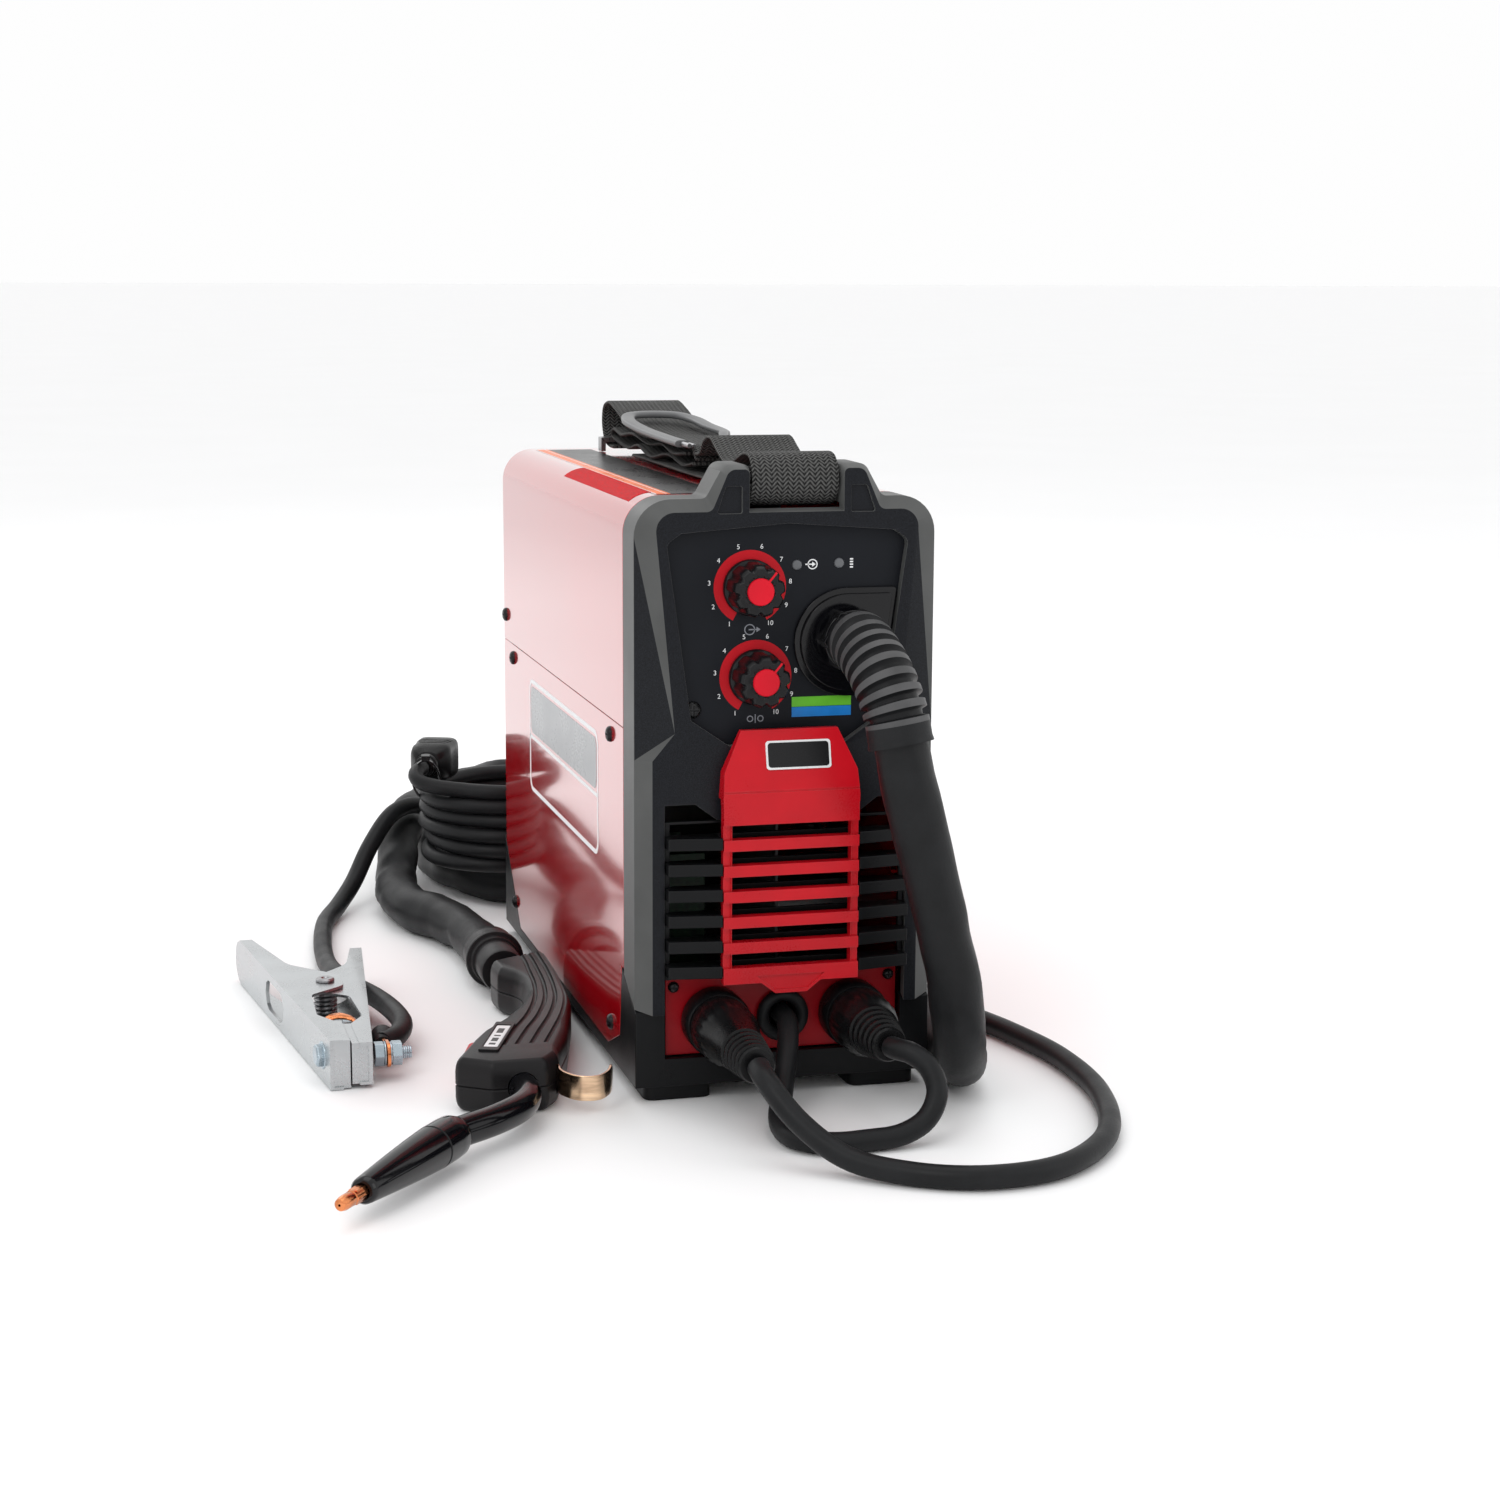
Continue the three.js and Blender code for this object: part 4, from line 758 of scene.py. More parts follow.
def make_knobs():
    pointer = radians(90 - POINTER_DEG)
    for name, (cx, cz) in DIALS.items():
        def lobes(angle, h):
            if h < 3.2:
                return 1.0
            facing = atan2(sin(angle), -cos(angle))
            dip = max(0.0, cos(9 * (facing - pointer) + pi)) ** 1.3
            return 1 - 0.15 * dip * (0.55 + 0.45 * h / 20)
        profile = [(0, 0), (13.7, 0), (13.7, 2.2), (13.3, 2.8), (12.9, 3.2), (12.8, 6), (12.7, 12), (12.6, 16.8),
            (12.1, 18.5),
                   (11.0, 19.5), (8.2, 19.5), (7.4, 18.9), (7.0, 18.9), (0, 18.9)]
        body = turned(profile, (cx, KNOB_BASE, cz), (0, -1, 0), 144, lobes)
        shaft = rod("y", cx, cz, 3, KNOB_FRONT + 24, -154, 24)
        piece(name + "_body", merged(body, shaft), "knob_plastic", name, name, sharp=42)
        cap = turned([(0, 18.6), (6.6, 18.6), (6.6, 19.5), (6.2, 20), (0, 20)], (cx, KNOB_BASE, cz), (0, -1, 0), 48)
        piece(name + "_cap", cap, "cap_red", name, sharp=40)
        along = Vector((cos(pointer), 0, sin(pointer)))
        across = Vector((-sin(pointer), 0, cos(pointer)))
        corners = [along * r + across * s for r, s in ((6.4, -0.5), (12.0, -0.5), (12.0, 0.5), (6.4, 0.5))]
        strip = prism([(cx + c.x, cz + c.z) for c in corners], "y", KNOB_FRONT + 6.3, KNOB_FRONT + 8)
        piece(name + "_pointer", strip, "cap_red", name)


def make_gland():
    arc = [radians(90 + 7.5 * k) for k in range(25)]
    base = outline([(30.5 + 26.5 * cos(a), 225.5 + 26.5 * sin(a)) for a in arc] + [(48.4, 199, 1.5),
        (55.7, 252, 1.5)], 6)
    raised = outline([(30.5 + 23.6 * cos(a), 225.5 + 23.6 * sin(a)) for a in arc] + [(46.6, 201.9, 1.5),
        (52.9, 249.1, 1.5)], 6)
    flange = merged(prism(base, "y", -170.2, BEZEL_STEP), prism(raised, "y", -172, -170.2))
    nut = prism(circle(*GLAND, 16, 6), "y", -179.8, -172)
    collar = turned([(0, 0), (15, 0), (15, 1), (12.5, 1.4), (12.5, 4), (0, 4)], (GLAND[0], -177, GLAND[1]),
        (0, -1, 0))
    stem = rod("y", *GLAND, 9, -169, -108)
    piece("gland", merged(flange, nut, collar, stem), "gloss_black", stands_for="gun_gland", bevel=0.6)


RELIEF_STEP, RELIEF_SIDES = 0.7, 48


def make_strain_relief():
    """A bending relief of stacked ribs with a plain end sleeve."""
    line = catmull([(32, -178.5, 227), (32.3, -190, 226.6), (36, -210, 214), (39.5, -219, 199), (42, -222, 183)],
        RELIEF_STEP)
    total = len(line) * RELIEF_STEP
    pitch, first = 6.3, 6.0

    def radius(s):
        if s > total - 11:
            return 15.4 + 0.4 * smoothstep((s - total + 4) / 3)
        if s < first:
            return 14.4
        phase = ((s - first) % pitch) / pitch
        return 12.6 + 2.8 * smoothstep((0.5 - abs(phase - 0.5)) * 9 - 1.4)

    def section(i, share):
        return circle(0, 0, radius(i * RELIEF_STEP), RELIEF_SIDES)

    obj = piece("strain_relief", sweep(line, section), "rubber", stands_for="gun_strain_relief", sharp=60)
    obj.data.materials.append(LOOKS["relief_rib"])
    for index, polygon in enumerate(obj.data.polygons[: (len(line) - 1) * RELIEF_SIDES]):
        s = (index // RELIEF_SIDES) * RELIEF_STEP
        if s < total - 11 and radius(s) > 15 and radius(s + RELIEF_STEP) > 15:
            polygon.material_index = 1
    return obj


def make_grille():
    refined("louvre_panel", "case_plastic", bevel=0.5)
    posts = [box(s * 30.2 if s > 0 else -36, 36 if s > 0 else -30.2, -184, -181.2, 69 + 12.7 * k,
        76.2 + 12.7 * k) for s in (1, -1) for k in range(6)]
    inner = prism(outline([(-8.4, 57.3), (8.4, 57.3), (17, 64.6), (-17, 64.6)]), "y", -184, -182)
    lines = [box(-40, 40, -183.6, -182.6, 155.4, 156.2)]
    sides = [prism([(s * x, z) for x, z in ((34.2, 140), (34.2, 153), (33.4, 165), (23.8, 186), (45, 186),
        (45, 140))], "y", -190, -170)
             for s in (1, -1)]
    body = carved("grille", cad_mesh("grille_insert"), *posts, inner, *lines, *sides)
    piece("grille_body", body, "red_plastic", stands_for="grille_insert", bevel=0.45, segments=3, sharp=30)
    tilt = Matrix.Translation((0, -185, 151)) @ Matrix.Rotation(-atan2(8.5, 35), 4, "X")
    for name, grow, look_name in (("nameplate_rim", 0, "ink_white"), ("nameplate_field", 1.0, "black_label")):
        corners = [(-12.5 + grow, 15.5 + grow, 1.6), (20 - grow, 15.5 + grow, 1.6), (20 - grow, 29.5 - grow, 1.6),
            (-12.5 + grow, 29.5 - grow, 1.6)]
        piece(name, moved(prism(outline(corners, 5), "y", -0.12 - grow * 0.06, 0.3), tilt), look_name)


def make_sockets():
    # the socket plate takes the darker red, which is painted shade
    refined("socket_panel", "socket_red", bevel=0.3)
    refined("control_panel", "panel_plastic", bevel=0.3)
    collar = [(6.2, -14), (14, -14), (14, 1), (16.5, 1), (16.5, 12), (15.6, 13.6), (13.4, 13.6), (12.8, 11.5),
        (6.2, 11.5), (6.2, -14)]
    for node_name, x in (("negative_socket", -SOCKET_X), ("positive_socket", SOCKET_X)):
        piece(node_name + "_body", turned(collar, (x, -166.4, SOCKET_Z), (0, -1, 0), 56), "socket_plastic",
            stands_for=node_name, sharp=38)
    ring = [(7.2, -4)] + [(10.2 + 3 * cos(a), 2.5 + 3 * sin(a)) for a in np.linspace(pi * 1.1, -pi * 0.35,
        12)] + [(12, -1), (9, -1.5), (7.2, -4)]
    piece("lead_grommet", turned(ring, (0, -165.5, SOCKET_Z), (0, -1, 0), 48), "rubber", sharp=50)
    plus = merged(box(4.0, 9.0, -165.62, -165.5, 24.4, 25.6), box(5.9, 7.1, -165.62, -165.5, 22.6, 27.4))
    piece("plus_mark", plus, "ink_white")


def lead_plug(name, node_name, x, length, tail):
    """A moulded quarter-turn plug: ribbed grip, tapering boot with rings at its end."""
    def flutes(angle, h):
        if not 3 < h < 22:
            return 1.0
        return 1 - 0.045 * max(0.0, cos(18 * angle)) ** 2 * smoothstep((h - 3) / 3) * smoothstep((22 - h) / 3)
    profile = [(0, -9), (5.5, -9), (5.5, 0), (14.6, 0), (15.3, 1.2), (15.5, 10), (15.4, 18), (14.6, 21), (13.4, 24)]
    rings = 5
    for k in range(rings):
        h = length - 26 + k * 5
        r = 13 - (13 - tail) * (h - 24) / (length - 24)
        profile += [(r, h), (r, h + 1.6), (r - 1.1, h + 2.0), (r - 1.3, h + 3.6)]
    profile += [(tail, length - 1), (tail - 0.8, length), (0, length)]
    body = turned(profile, (x, -180.3, SOCKET_Z), (0, -1, 0), 108, flutes)
    return piece(name, body, "socket_plastic", stands_for=node_name, sharp=40)


# ---- carry strap
def strap(name, line, stands_for=(), lean=0.6, x0=HORNS_X - 21.5, x1=HORNS_X + 21.5):
    line = catmull(line, 2.2)
    mesh, along = ribbon(line, x0, x1, 1.7, lean)
    obj = piece(name, mesh, "webbing", stands_for=stands_for, sharp=50)
    layer = obj.data.uv_layers.new(name="UVMap")
    ring = 8
    for loop in obj.data.loops:
        row = min(loop.vertex_index // ring, len(along) - 1)
        x = obj.data.vertices[loop.vertex_index].co.x / MM
        layer.data[loop.index].uv = (x, float(along[row]))
    return obj


def make_strap():
    loop = [(95, 298.2), (20, 298.3), (-60, 298), (-120, 298.6), (-141, 298.6), (-149, 294.9), (-157, 292.3),
        (-165, 294.1), (-170, 300.5),
            (-169, 309), (-163, 315), (-152, 316), (-139, 313), (-127, 309.8), (-112, 309.8), (-98, 315),
                (-86, 319.6), (-74, 317),
            (-66, 310.5), (-54, 309.2)]
    strap("strap_front_loop", loop, "carry_strap", 0.4)
    folds = [(-48, 303.6), (-20, 301), (12, 304.4), (44, 300.9), (78, 304.8), (112, 301.2), (142, 303.2),
        (154, 306.4),
             (148, 309.8), (120, 308.2), (92, 310.4), (60, 306.8), (26, 309), (-8, 306.4), (-38, 308.2)]
    strap("strap_folds", folds, (), 1.4)
    rear = [(-56, 306.2), (-46, 312), (-20, 310.8), (20, 312.4), (60, 311), (96, 312.6), (122, 316), (142, 321.5),
            (160, 324.8), (171, 321), (173, 312), (167, 303), (158, 299.9), (146, 299.4)]
    strap("strap_rear_loop", rear, (), 0.8)
    refined("rear_strap_bracket", "steel", bevel=0.4)
    hook = [(-20.5, -40, 313.4), (-21, 0, 314), (-21.5, 50, 315.4), (-20.5, 90, 318), (-15, 107, 319.8),
        (-2, 112, 320.2),
            (11, 107, 319.8), (17.5, 92, 318.2), (18.5, 60, 316), (18.5, 30, 315), (14, 4, 315.4), (8, -14, 316.6),
                (4, -34, 315), (3, -52, 313.6), (4, -58, 313.6)]
    line = catmull(hook, 2.5)

    def section(i, share):
        wide = 3.9 - 1.4 * smoothstep((share - 0.55) / 0.3)
        return [(wide * copysign(abs(cos(a)) ** 0.7, cos(a)), 1.9 * copysign(abs(sin(a)) ** 0.7, sin(a)))
                for a in angles(20)]

    piece("strap_hook", sweep(line, section), "grey_plastic", stands_for="strap_slider", sharp=60)
    pin = merged(rod("y", -20.5, 313.4, 1.3, -56, -38, 20), rod("y", -17.5, 313.4, 0.9, -54, -40, 16))
    piece("strap_hook_pin", pin, "steel", bevel=0.2)


# ---- torch
HANDLE = [
    (-79.5, 45, 5), (-80.5, 0, 60), (-85, -60, 60), (-99, -120, 40), (-109, -150, 6),
    (-111, -160, 5), (-119, -172, 5), (-146, -172, 5), (-163, -160, 5), (-148, -126), (-141, -112),
    (-126, -90, 8), (-114, -68, 20), (-104, -40, 30), (-103, -10, 30), (-112.5, 8, 6), (-114, 25, 4),
]


def inset(shape, distance):
    """The outline moved inwards by a distance."""
    points = np.array(shape, float)
    area = float(np.sum(points[:, 0] * np.roll(points[:, 1], -1) - points[:, 1] * np.roll(points[:, 0], -1)))
    before = points - np.roll(points, 1, axis=0)
    after = np.roll(points, -1, axis=0) - points
    before /= np.linalg.norm(before, axis=1)[:, None] + 1e-9
    after /= np.linalg.norm(after, axis=1)[:, None] + 1e-9
    normal = np.column_stack([-(before + after)[:, 1], (before + after)[:, 0]]) * copysign(1, area)
    normal /= np.linalg.norm(normal, axis=1)[:, None] + 1e-9
    return [tuple(p) for p in points + normal * distance]


def pillow(shape, levels):
    return stacked([[(x, y, z) for x, y in inset(shape, d)] for z, d in levels])


def make_torch():
    shape = outline(HANDLE, 12)
    slot = prism([(-146, -143), (-127, -115), (-136, -98), (-165, -122)], "z", 5, 21)
    hook_slot = box(-113, -104, -170, -150, 6, 21)
    neck_hole = rod("y", -131, 13.5, 7.6, -174, -158, 32)
    lower = [(12.85, 0.5), (12.3, 0), (7, 0), (4.6, 0.3), (2.8, 0.9), (1.3, 1.9), (0.5, 3.1), (0.3, 3.7)]
    upper = [(13.15, 0.5), (13.7, 0), (19.5, 0), (22.2, 0.3), (24.2, 0.9), (25.9, 1.9), (26.8, 3.1), (27, 3.7)]
    edges = [(50, -79, -116), (27, -80, -113), (0, -80.5, -107), (-31, -82.8, -103.6), (-60, -85.5, -110.5),
        (-90, -91, -125),
             (-118, -98, -144), (-143, -106.5, -155)]
    cuts = []
    for top, middle, end in ((0.46, 0.8, 0.6), (0.33, 0.56, 0.46), (0.19, 0.33, 0.31), (0.07, 0.1, 0.16)):
        spots = []
        for y, right, left in edges:
            share = middle + (top - middle) * smoothstep((y + 31) / 60) + (end - middle) * smoothstep((-31 - y) / 100)
            spots.append((right + (left - right) * share, y, 27.4))
        cuts.append(sweep(catmull(spots, 4), lambda i, s: [(1.35 * cos(t), 1.9 * sin(t)) for t in angles(12)]))
    for k in range(9):
        share = (k + 0.5) / 9
        cuts.append(rod("z", -112 + 30 * share, 26.5 + 18 * share, 1.05, 20, 28, 12))
    top = carved("upper", pillow(shape, upper), slot, hook_slot, neck_hole)
    for cut in cuts:
        top = carved("upper", top, cut)
    bottom = carved("lower", pillow(shape, lower), slot, hook_slot, neck_hole)
    piece("torch_upper", top, "torch_plastic", stands_for="gun_handle_upper", sharp=32)
    piece("torch_lower", bottom, "torch_plastic", stands_for="gun_handle_lower", sharp=32)
    refined("gun_trigger", "red_plastic", "gun_trigger", bevel=1.2, segments=3)
    line = catmull([(-131, -161.5, 13.5), (-131, -169, 13.5), (-131.5, -184, 13.5), (-138, -202, 13.5),
        (-153, -219, 13.5), (-172, -233.7, 13.5)], 2.5)
    neck = sweep(line, lambda i, s: circle(0, 0, 7.3, 36))
    piece("torch_neck", neck, "gloss_black", stands_for="gun_neck", sharp=50)
    at = (-173, -234.5, 13.5)
    towards = (-sin(radians(36.5)), -cos(radians(36.5)), 0)
    nozzle = [(0, 1.5), (8.2, 1.5), (8.8, 2.2), (10.1, 6), (10.35, 12), (10.35, 23.6), (10.0, 24), (10.0, 24.8),
        (10.3, 25.2), (9.6, 40),
              (8.4, 58), (7.2, 74), (6.4, 84), (6.0, 87), (5.2, 88), (3.9, 88), (3.9, 60), (0, 60)]
    piece("torch_nozzle", turned(nozzle, at, towards, 56), "gloss_black", stands_for="gun_nozzle", sharp=38)
    tip = [(0, 62), (3.4, 62), (3.4, 96), (3.4, 97), (3.1, 97.4), (3.3, 98), (3.3, 104), (2.7, 106.4), (1.8, 107),
        (0.6, 107), (0.55, 101), (0, 101)]
    flats = turned([(0, 88.4), (3.75, 88.4), (3.75, 95.6), (0, 95.6)], at, towards, 6)
    piece("torch_tip", merged(turned(tip, at, towards, 36), flats), "copper", stands_for="gun_contact_tip", sharp=35)
    path = catmull([(-111.4, -157, 13.5), (-111, -169, 13.5), (-104.6, -179.6, 13.5), (-96, -180.8, 13.5),
        (-89.3, -173, 13.5), (-84.8, -159.5, 13.5)], 1.2)

    def strip(i, share):
        high = 6.2 * sqrt(max(0.12, 1 - max(0.0, (share - 0.9) / 0.1) ** 2))
        return [(-0.7, -high), (0.7, -high), (0.7, high), (-0.7, high)]

    piece("torch_hook", sweep(path, strip), "hook_copper", stands_for="gun_hook", bevel=0.3, sharp=50)
    collar = [(0, -24), (11.8, -24), (12.5, -22), (12.5, 0), (13.6, 0.2), (14.0, 1), (14.6, 3), (16.2, 3.2),
        (16.5, 4), (16.5, 6), (16.0, 6.8), (14.8, 7.2),
              (14.6, 12), (14.9, 18), (15.2, 22.5), (14.6, 23.6), (13.4, 24), (0, 24)]
    piece("torch_collar", turned(collar, (-104, 62.5, 16.2), (0, 1, 0), 56), "torch_plastic", sharp=38)
    turn = Matrix.Translation((-136.3, -129.5, 0)) @ Matrix.Rotation(radians(-20), 4, "Z")
    bed = carved("bed", prism(outline([(-5, -25, 1), (5, -25, 1), (5, 25, 1), (-5, 25, 1)], 4), "z", 24.5, 28.2),
                 prism(outline([(-3.7, -20, 0.6), (3.7, -20, 0.6), (3.7, 20, 0.6), (-3.7, 20, 0.6)], 4), "z", 27.5,
                     30))
    plate = merged(prism(outline([(-3.4, -19.6, 0.6), (3.4, -19.6, 0.6), (3.4, 19.6, 0.6), (-3.4, 19.6, 0.6)], 4),
        "z", 27.3, 27.75))
    piece("label_bed", moved(bed, turn), "torch_plastic", bevel=0.25)
    piece("label_plate", moved(plate, turn), "ink_white", bevel=0.08)
    for k, (v0, v1) in enumerate(((-15, -12), (-9, -3), (0, 2), (6, 14))):
        bar = prism([(-1.6, v0), (1.6, v0), (1.6, v1), (-1.6, v1)], "z", 27.7, 27.84)
        piece(f"label_bar_{k}", moved(bar, turn), "black_label")


# ---- work clamp
def make_clamp():
    refined("clamp_left_arm", "zinc", "clamp_left_arm", bevel=0.6, segments=3)
    refined("clamp_right_arm", "zinc", bevel=0.6, segments=3)
    x, y = CLAMP_X, CLAMP_Y
    rivet = [(0, 0.3), (3, 0.3), (3, 26.3), (5, 26.3), (5, 27.2), (4.2, 28), (2.2, 28), (1.8, 27.2), (0, 27.2)]
    piece("clamp_rivet", turned(rivet, (x, y, 0), (0, 0, 1), 32), "steel", stands_for="clamp_pivot", sharp=38)
    coil = [(x + 5.4 * cos(a), y + 5.4 * sin(a), 5.8 + 14.4 * a / (2 * pi * 6)) for a in np.linspace(0, 2 * pi * 6,
        150)]
    wire = sweep(coil, lambda i, s: circle(0, 0, 1.0, 10))
    piece("clamp_coil_spring", wire, "steel", stands_for="clamp_spring", sharp=60)
    by, bz = -96, 13
    bolt = merged(rod("x", by, bz, 3, x + 13.2, x + 32, 28), prism(circle(by, bz, 6.5, 6), "x", x + 13.2, x + 18),
                  prism(circle(by, bz, 6.5, 6), "x", x + 22, x + 27), rod("x", by, bz, 6.2, x + 18, x + 19, 32),
                  rod("x", by, bz, 5.8, x + 21, x + 22, 32),
                      *[rod("x", by, bz, 3.25, x + 27.6 + k, x + 28.1 + k, 28) for k in range(4)])
    piece("clamp_bolt_body", bolt, "blue_zinc", stands_for="clamp_bolt", bevel=0.35)
    lug = merged(prism(outline([(-104, 6.8, 5), (-88, 6.8, 5), (-88, 19.2, 5), (-104, 19.2, 5)], 8), "x", x + 19.1,
        x + 20.9),
                 box(x + 19.1, x + 20.9, -92, -78.5, 9.5, 16.5))
    piece("clamp_lug", lug, "copper", bevel=0.3)
    sleeve = turned([(0, 0), (4.2, 0), (4.6, 2), (5.9, 9), (6.1, 16), (5.6, 17), (0, 17)], (-186.6, -80, 13),
        (0.1, 1, 0), 36)
    piece("clamp_sleeve", sleeve, "rubber", sharp=50)
    lean = radians(6.9)
    face = Vector((-cos(lean), -sin(lean), 0))
    foot = Vector((x - 9.6 - 2.7, -95, 14))
    head = turned([(0, -2), (5.9, -2), (5.9, 3.2), (4.9, 4.2), (0, 4.2)], foot, face, 6)
    washer = turned([(0, -2), (7.2, -2), (7.2, 0.5), (6.8, 0.9), (0, 0.9)], foot, face, 36)
    piece("clamp_hex_head", merged(head, washer), "blue_zinc", "clamp_left_arm", bevel=0.3)
    for k, (side, body) in enumerate(((-1, "clamp_left_arm"), (1, "machine"))):
        pad = prism(outline([(x + side * 1.6, -73), (x + side * 9, -73), (x + side * 9.6, -50, 2),
            (x + side * 2.4, -52, 2)], 4), "z", 7, 20.5)
        piece(f"clamp_pad_{k}", pad, "blue_zinc", body, bevel=0.6)
    strands = []
    for k in range(14):
        a = 2 * pi * k / 14
        braid = catmull([(x + 8.2, -64, 20.8), (x + 6, -60, 22.4), (x + 1, -57.5, 23.2), (x - 4, -58, 22.8),
            (x - 8, -62, 20.8)], 1.2)
        weave = [(px + 0.3 * sin(i * 1.1 + a), py + 3.8 * sin(a + i * 0.45), pz + 0.75 * cos(a + i * 0.45)) for i,
            (px, py, pz) in enumerate(braid)]
        strands.append(sweep(weave, lambda i, s: [(0.55 * cos(t), 0.55 * sin(t)) for t in angles(6)]))
    piece("clamp_braid", merged(*strands), "copper", sharp=60)


# ---- plugs, rear pieces and the inside
def make_mains_plug():
    """A moulded block plug with a ribbed grip and three pins."""
    turn = Matrix.Translation((-112, 283, 88.5)) @ Matrix.Rotation(radians(-22), 4, "Z")
    rings = []
    for h, wide, high, power in ((-1, 5.4, 5.4, 1), (0, 6.4, 6.4, 1), (3, 6.6, 6.6, 1), (3.6, 5.6, 5.6, 1),
        (5.4, 5.6, 5.6, 1), (6, 7.2, 7.2, 1),
                                 (8.6, 7.4, 7.4, 1), (9.2, 6.2, 6.2, 1), (11, 6.2, 6.2, 1), (11.6, 8.4, 8, 0.9),
                                     (15, 11, 9.4, 0.6), (18, 12.8, 10.6, 0.45),
                                 (22, 13.2, 11.6, 0.4), (26, 12.6, 12, 0.4), (33, 13.2, 12.6, 0.35),
                                     (41, 13.2, 12.6, 0.35), (42, 12.4, 11.8, 0.35)):
        ring = []
        for k in range(56):
            a = 2 * pi * k / 56
            c, sn = cos(a), sin(a)
            ring.append((wide * copysign(abs(c) ** power, c), h, high * copysign(abs(sn) ** power, sn)))
        rings.append(ring)
    ribs = [box(-11 + 0.4, 11, 24 + k * 3.2, 25.4 + k * 3.2, 11.4, 13.2) for k in range(4)]
    body = carved("plug", stacked(rings), *ribs)
    piece("mains_plug_body", moved(body, turn), "socket_plastic", stands_for="mains_plug", bevel=0.3, sharp=34)
    pins = merged(*[box(dx - 0.8, dx + 0.8, 41, 58, -3.2, 3.2) for dx in (-6, 6)], rod("y", 0, -7, 2.3, 41, 60, 24))
    piece("mains_pins", moved(pins, turn), "brass", bevel=0.3)


def cable_tie(name, middle, across, r, wide=3.0):
    """A plastic tie round leads: a band with a ratchet head and a cut tail."""
    up = Vector(across).normalized()
    side = up.cross(Vector((0, 0, 1))).normalized()
    lift = side.cross(up)
    ring = [Vector(middle) + side * r[0] * cos(a) + lift * r[1] * sin(a) for a in angles(40)]
    rings = []
    for p in ring:
        out = (p - Vector(middle)).normalized()
        rings.append([p + out * o + up * u for o, u in ((0, -wide / 2), (1.1, -wide / 2), (1.1, wide / 2), (0,
            wide / 2))])
    top = Vector(middle) + lift * (r[1] + 1)
    head = [(top + side * a + up * b + lift * c) for a in (-2.6, 2.6) for b in (-2.6, 2.6) for c in (-0.6, 3)]
    faces = [(0, 1, 3, 2), (4, 6, 7, 5), (0, 4, 5, 1), (2, 3, 7, 6), (0, 2, 6, 4), (1, 5, 7, 3)]
    piece(name, merged(stacked(rings, True), ([tuple(v) for v in head], faces)), "gloss_black", bevel=0.25)


def make_rear():
    refined("mains_cord_gland", "case_plastic", bevel=0.4)
    refined("gas_inlet", "brass", bevel=0.3)
    refined("power_switch", "socket_plastic", "power_switch", bevel=0.5)
    refined("fan_frame", "case_plastic", bevel=0.4)
    refined("fan_rotor", "case_plastic", "fan_rotor", bevel=0.3)
    refined("door_latch", "case_plastic", "door_latch", bevel=0.4)
    piece("hinge_rod", rod("y", 72.5, 261, 1.3, -121, 121, 20), "steel", stands_for="door_hinge_rod", bevel=0.2)


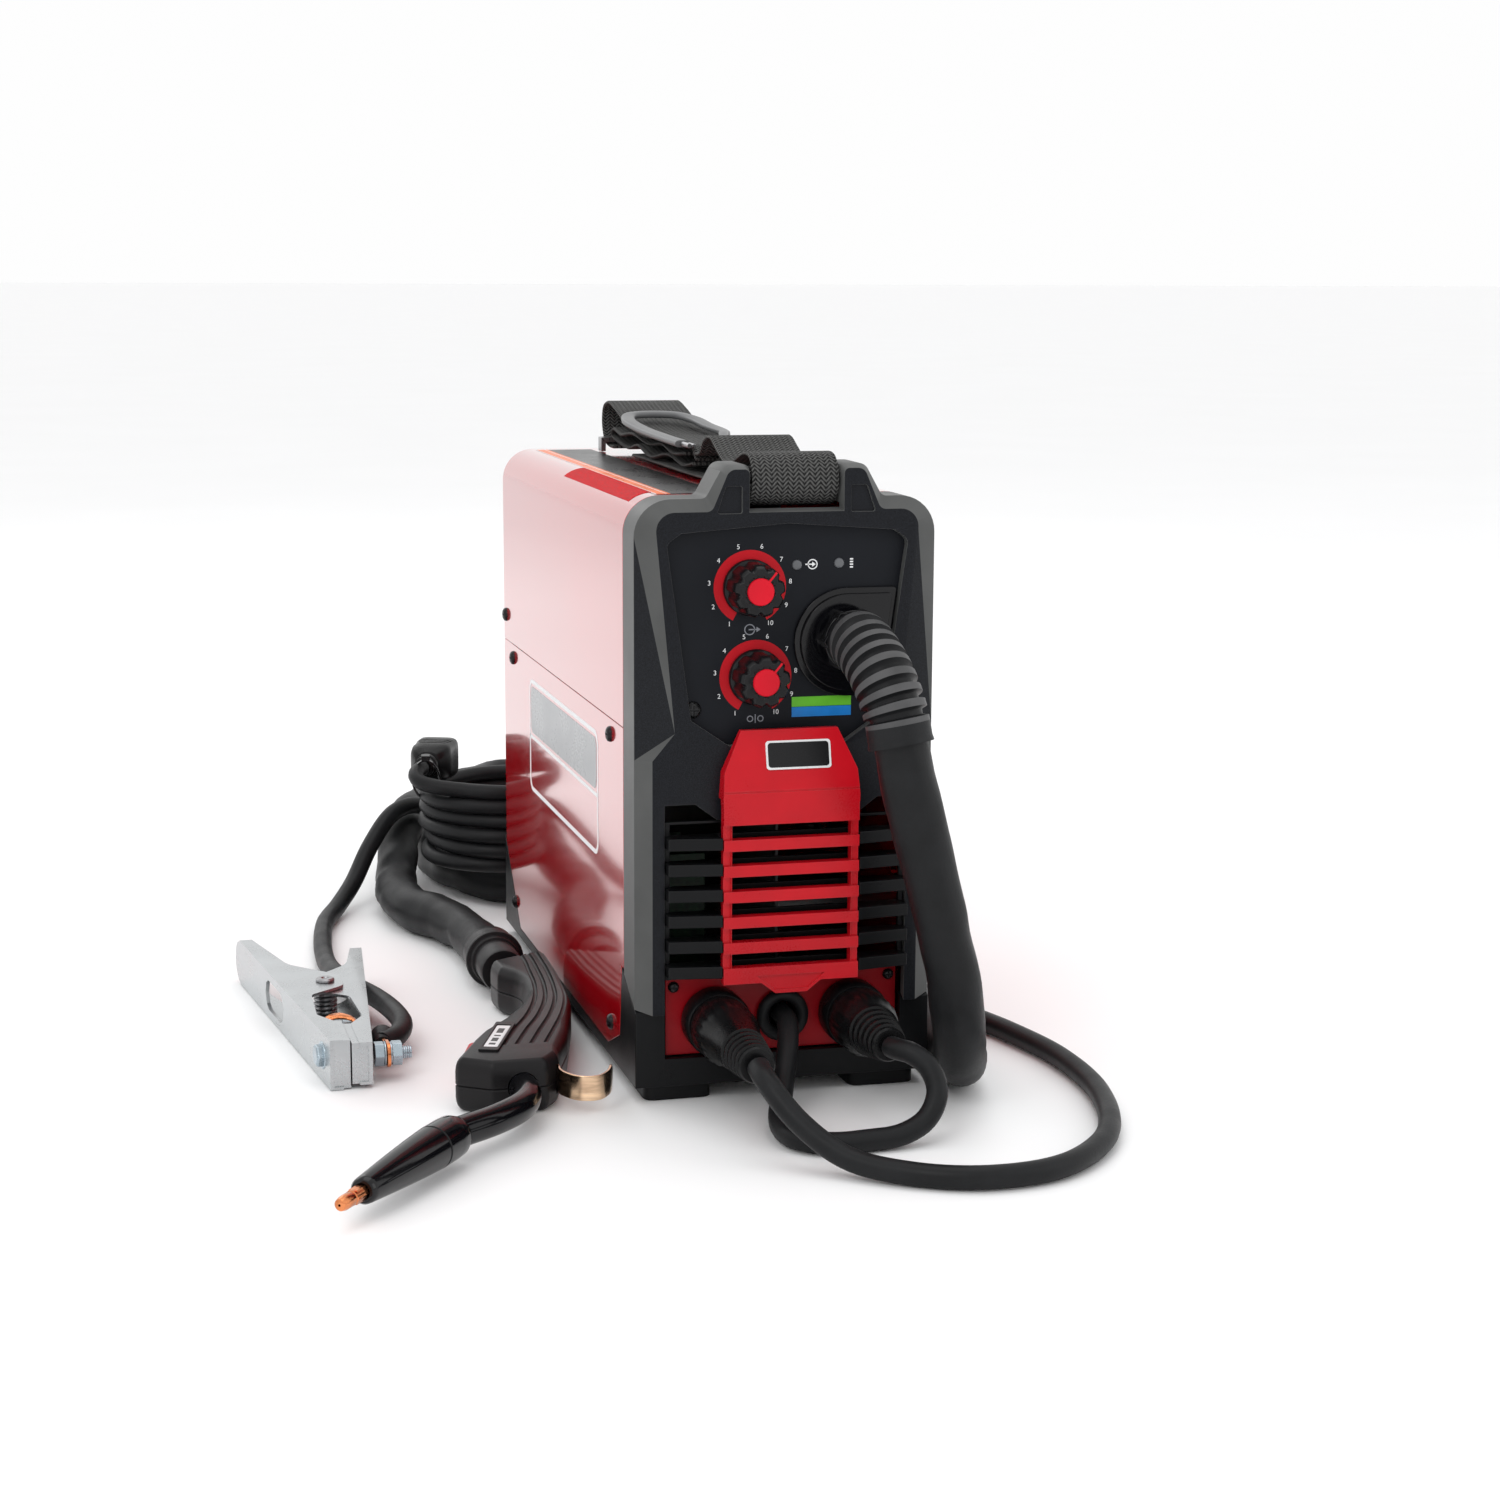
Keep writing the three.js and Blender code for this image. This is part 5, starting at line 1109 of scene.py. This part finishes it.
def make_inside():
    # the centre partition's dark grey is painted shade inside the case
    refined("centre_partition", "inner_plate", bevel=0.2)
    refined("control_board", "circuit", bevel=0.2)
    refined("power_board", "circuit", bevel=0.5)
    refined("drive_motor", "steel", bevel=0.5)
    refined("pressure_arm", "zinc", "pressure_arm", bevel=0.4)
    spool = [(8, 0), (51, 0), (51, 2), (46, 2.2), (46, 2.2), (18, 2.4), (18, 41.6), (46, 41.8), (51, 42), (51, 44),
        (8, 44), (8, 0)]
    piece("spool_body", turned(spool, SPOOL_AT, (1, 0, 0), 72), "spool_plastic", "wire_spool", "wire_spool", sharp=38)
    wire = [(18.2, 2.6), (43.5, 2.6), (44, 4), (44, 40), (43.5, 41.4), (18.2, 41.4), (18.2, 2.6)]
    piece("wound_wire", turned(wire, SPOOL_AT, (1, 0, 0), 72), "wound_wire", "wire_spool", sharp=50)
    for name, r, bore, z in (("drive_roll", 14, 4.9, 213), ("idler_roll", 12, 4, 239.4)):
        rim = [(bore, 0), (r - 0.6, 0), (r, 0.6), (r, 4.2), (r - 0.7, 5), (r, 5.8), (r, 9.4), (r - 0.6, 10),
            (bore, 10), (bore, 0)]
        piece(name + "_body", turned(rim, (26, -70, z), (1, 0, 0), 56), "steel", name, name, sharp=38)


def make_labels():
    top = CASE_TOP
    piece("top_label_orange", box(-57, -50, -138, 178, top - 0.1, top + 0.12), "orange")
    piece("top_label_black", box(-50, -24, -138, 178, top - 0.1, top + 0.1), "black_label")
    lines = merged(box(-52.2, -51.7, -138, 178, top, top + 0.16), box(-57.3, -56.9, -138, 178, top, top + 0.16))
    piece("top_label_lines", lines, "ink_white")
    arc = [radians(90 + 4 * k) for k in range(11)]
    band = [(-57 + 18.14 * cos(a), 278 + 18.14 * sin(a)) for a in arc] + [(-57 + 17.9 * cos(a),
        278 + 17.9 * sin(a)) for a in reversed(arc)]
    piece("top_label_red", prism(band, "y", -128, 34), "label_red")
    # a plain data plate on the left side
    x = -HALF_W

    def plate(y0, y1, z0, z1, r):
        return outline([(y0, z0, r), (y1, z0, r), (y1, z1, r), (y0, z1, r)], 6)
    rim = carved("rim", prism(plate(-84, 108, 106, 171, 8), "x", x - 0.14, x),
        prism(plate(-81.6, 105.6, 108.4, 168.6, 6), "x", x - 1, x + 1))
    bar = prism([(-83, 136.6), (107, 136.6), (107, 138.6), (-83, 138.6)], "x", x - 0.14, x)
    piece("side_plate_rim", merged(rim, bar), "ink_white")
    piece("side_plate_field", prism(plate(-79.5, 103.5, 140.2, 167, 5), "x", x - 0.12, x), "plate_grey")


make_case()
make_bezel()
make_screws()
make_dials()
make_knobs()
make_gland()
relief = make_strain_relief()
make_grille()
make_sockets()
work_plug = lead_plug("work_plug_body", "work_plug", -SOCKET_X, 70, 9)
polarity_plug = lead_plug("polarity_plug_body", "polarity_plug", SOCKET_X, 52, 8.4)
make_strap()
make_torch()
make_clamp()
make_mains_plug()
cable_tie("mains_tie", (-111.5, 276, 0.5 * (88 + 76)), (0.2, 1, 0.1), (8, 12))
make_rear()
make_inside()
make_labels()
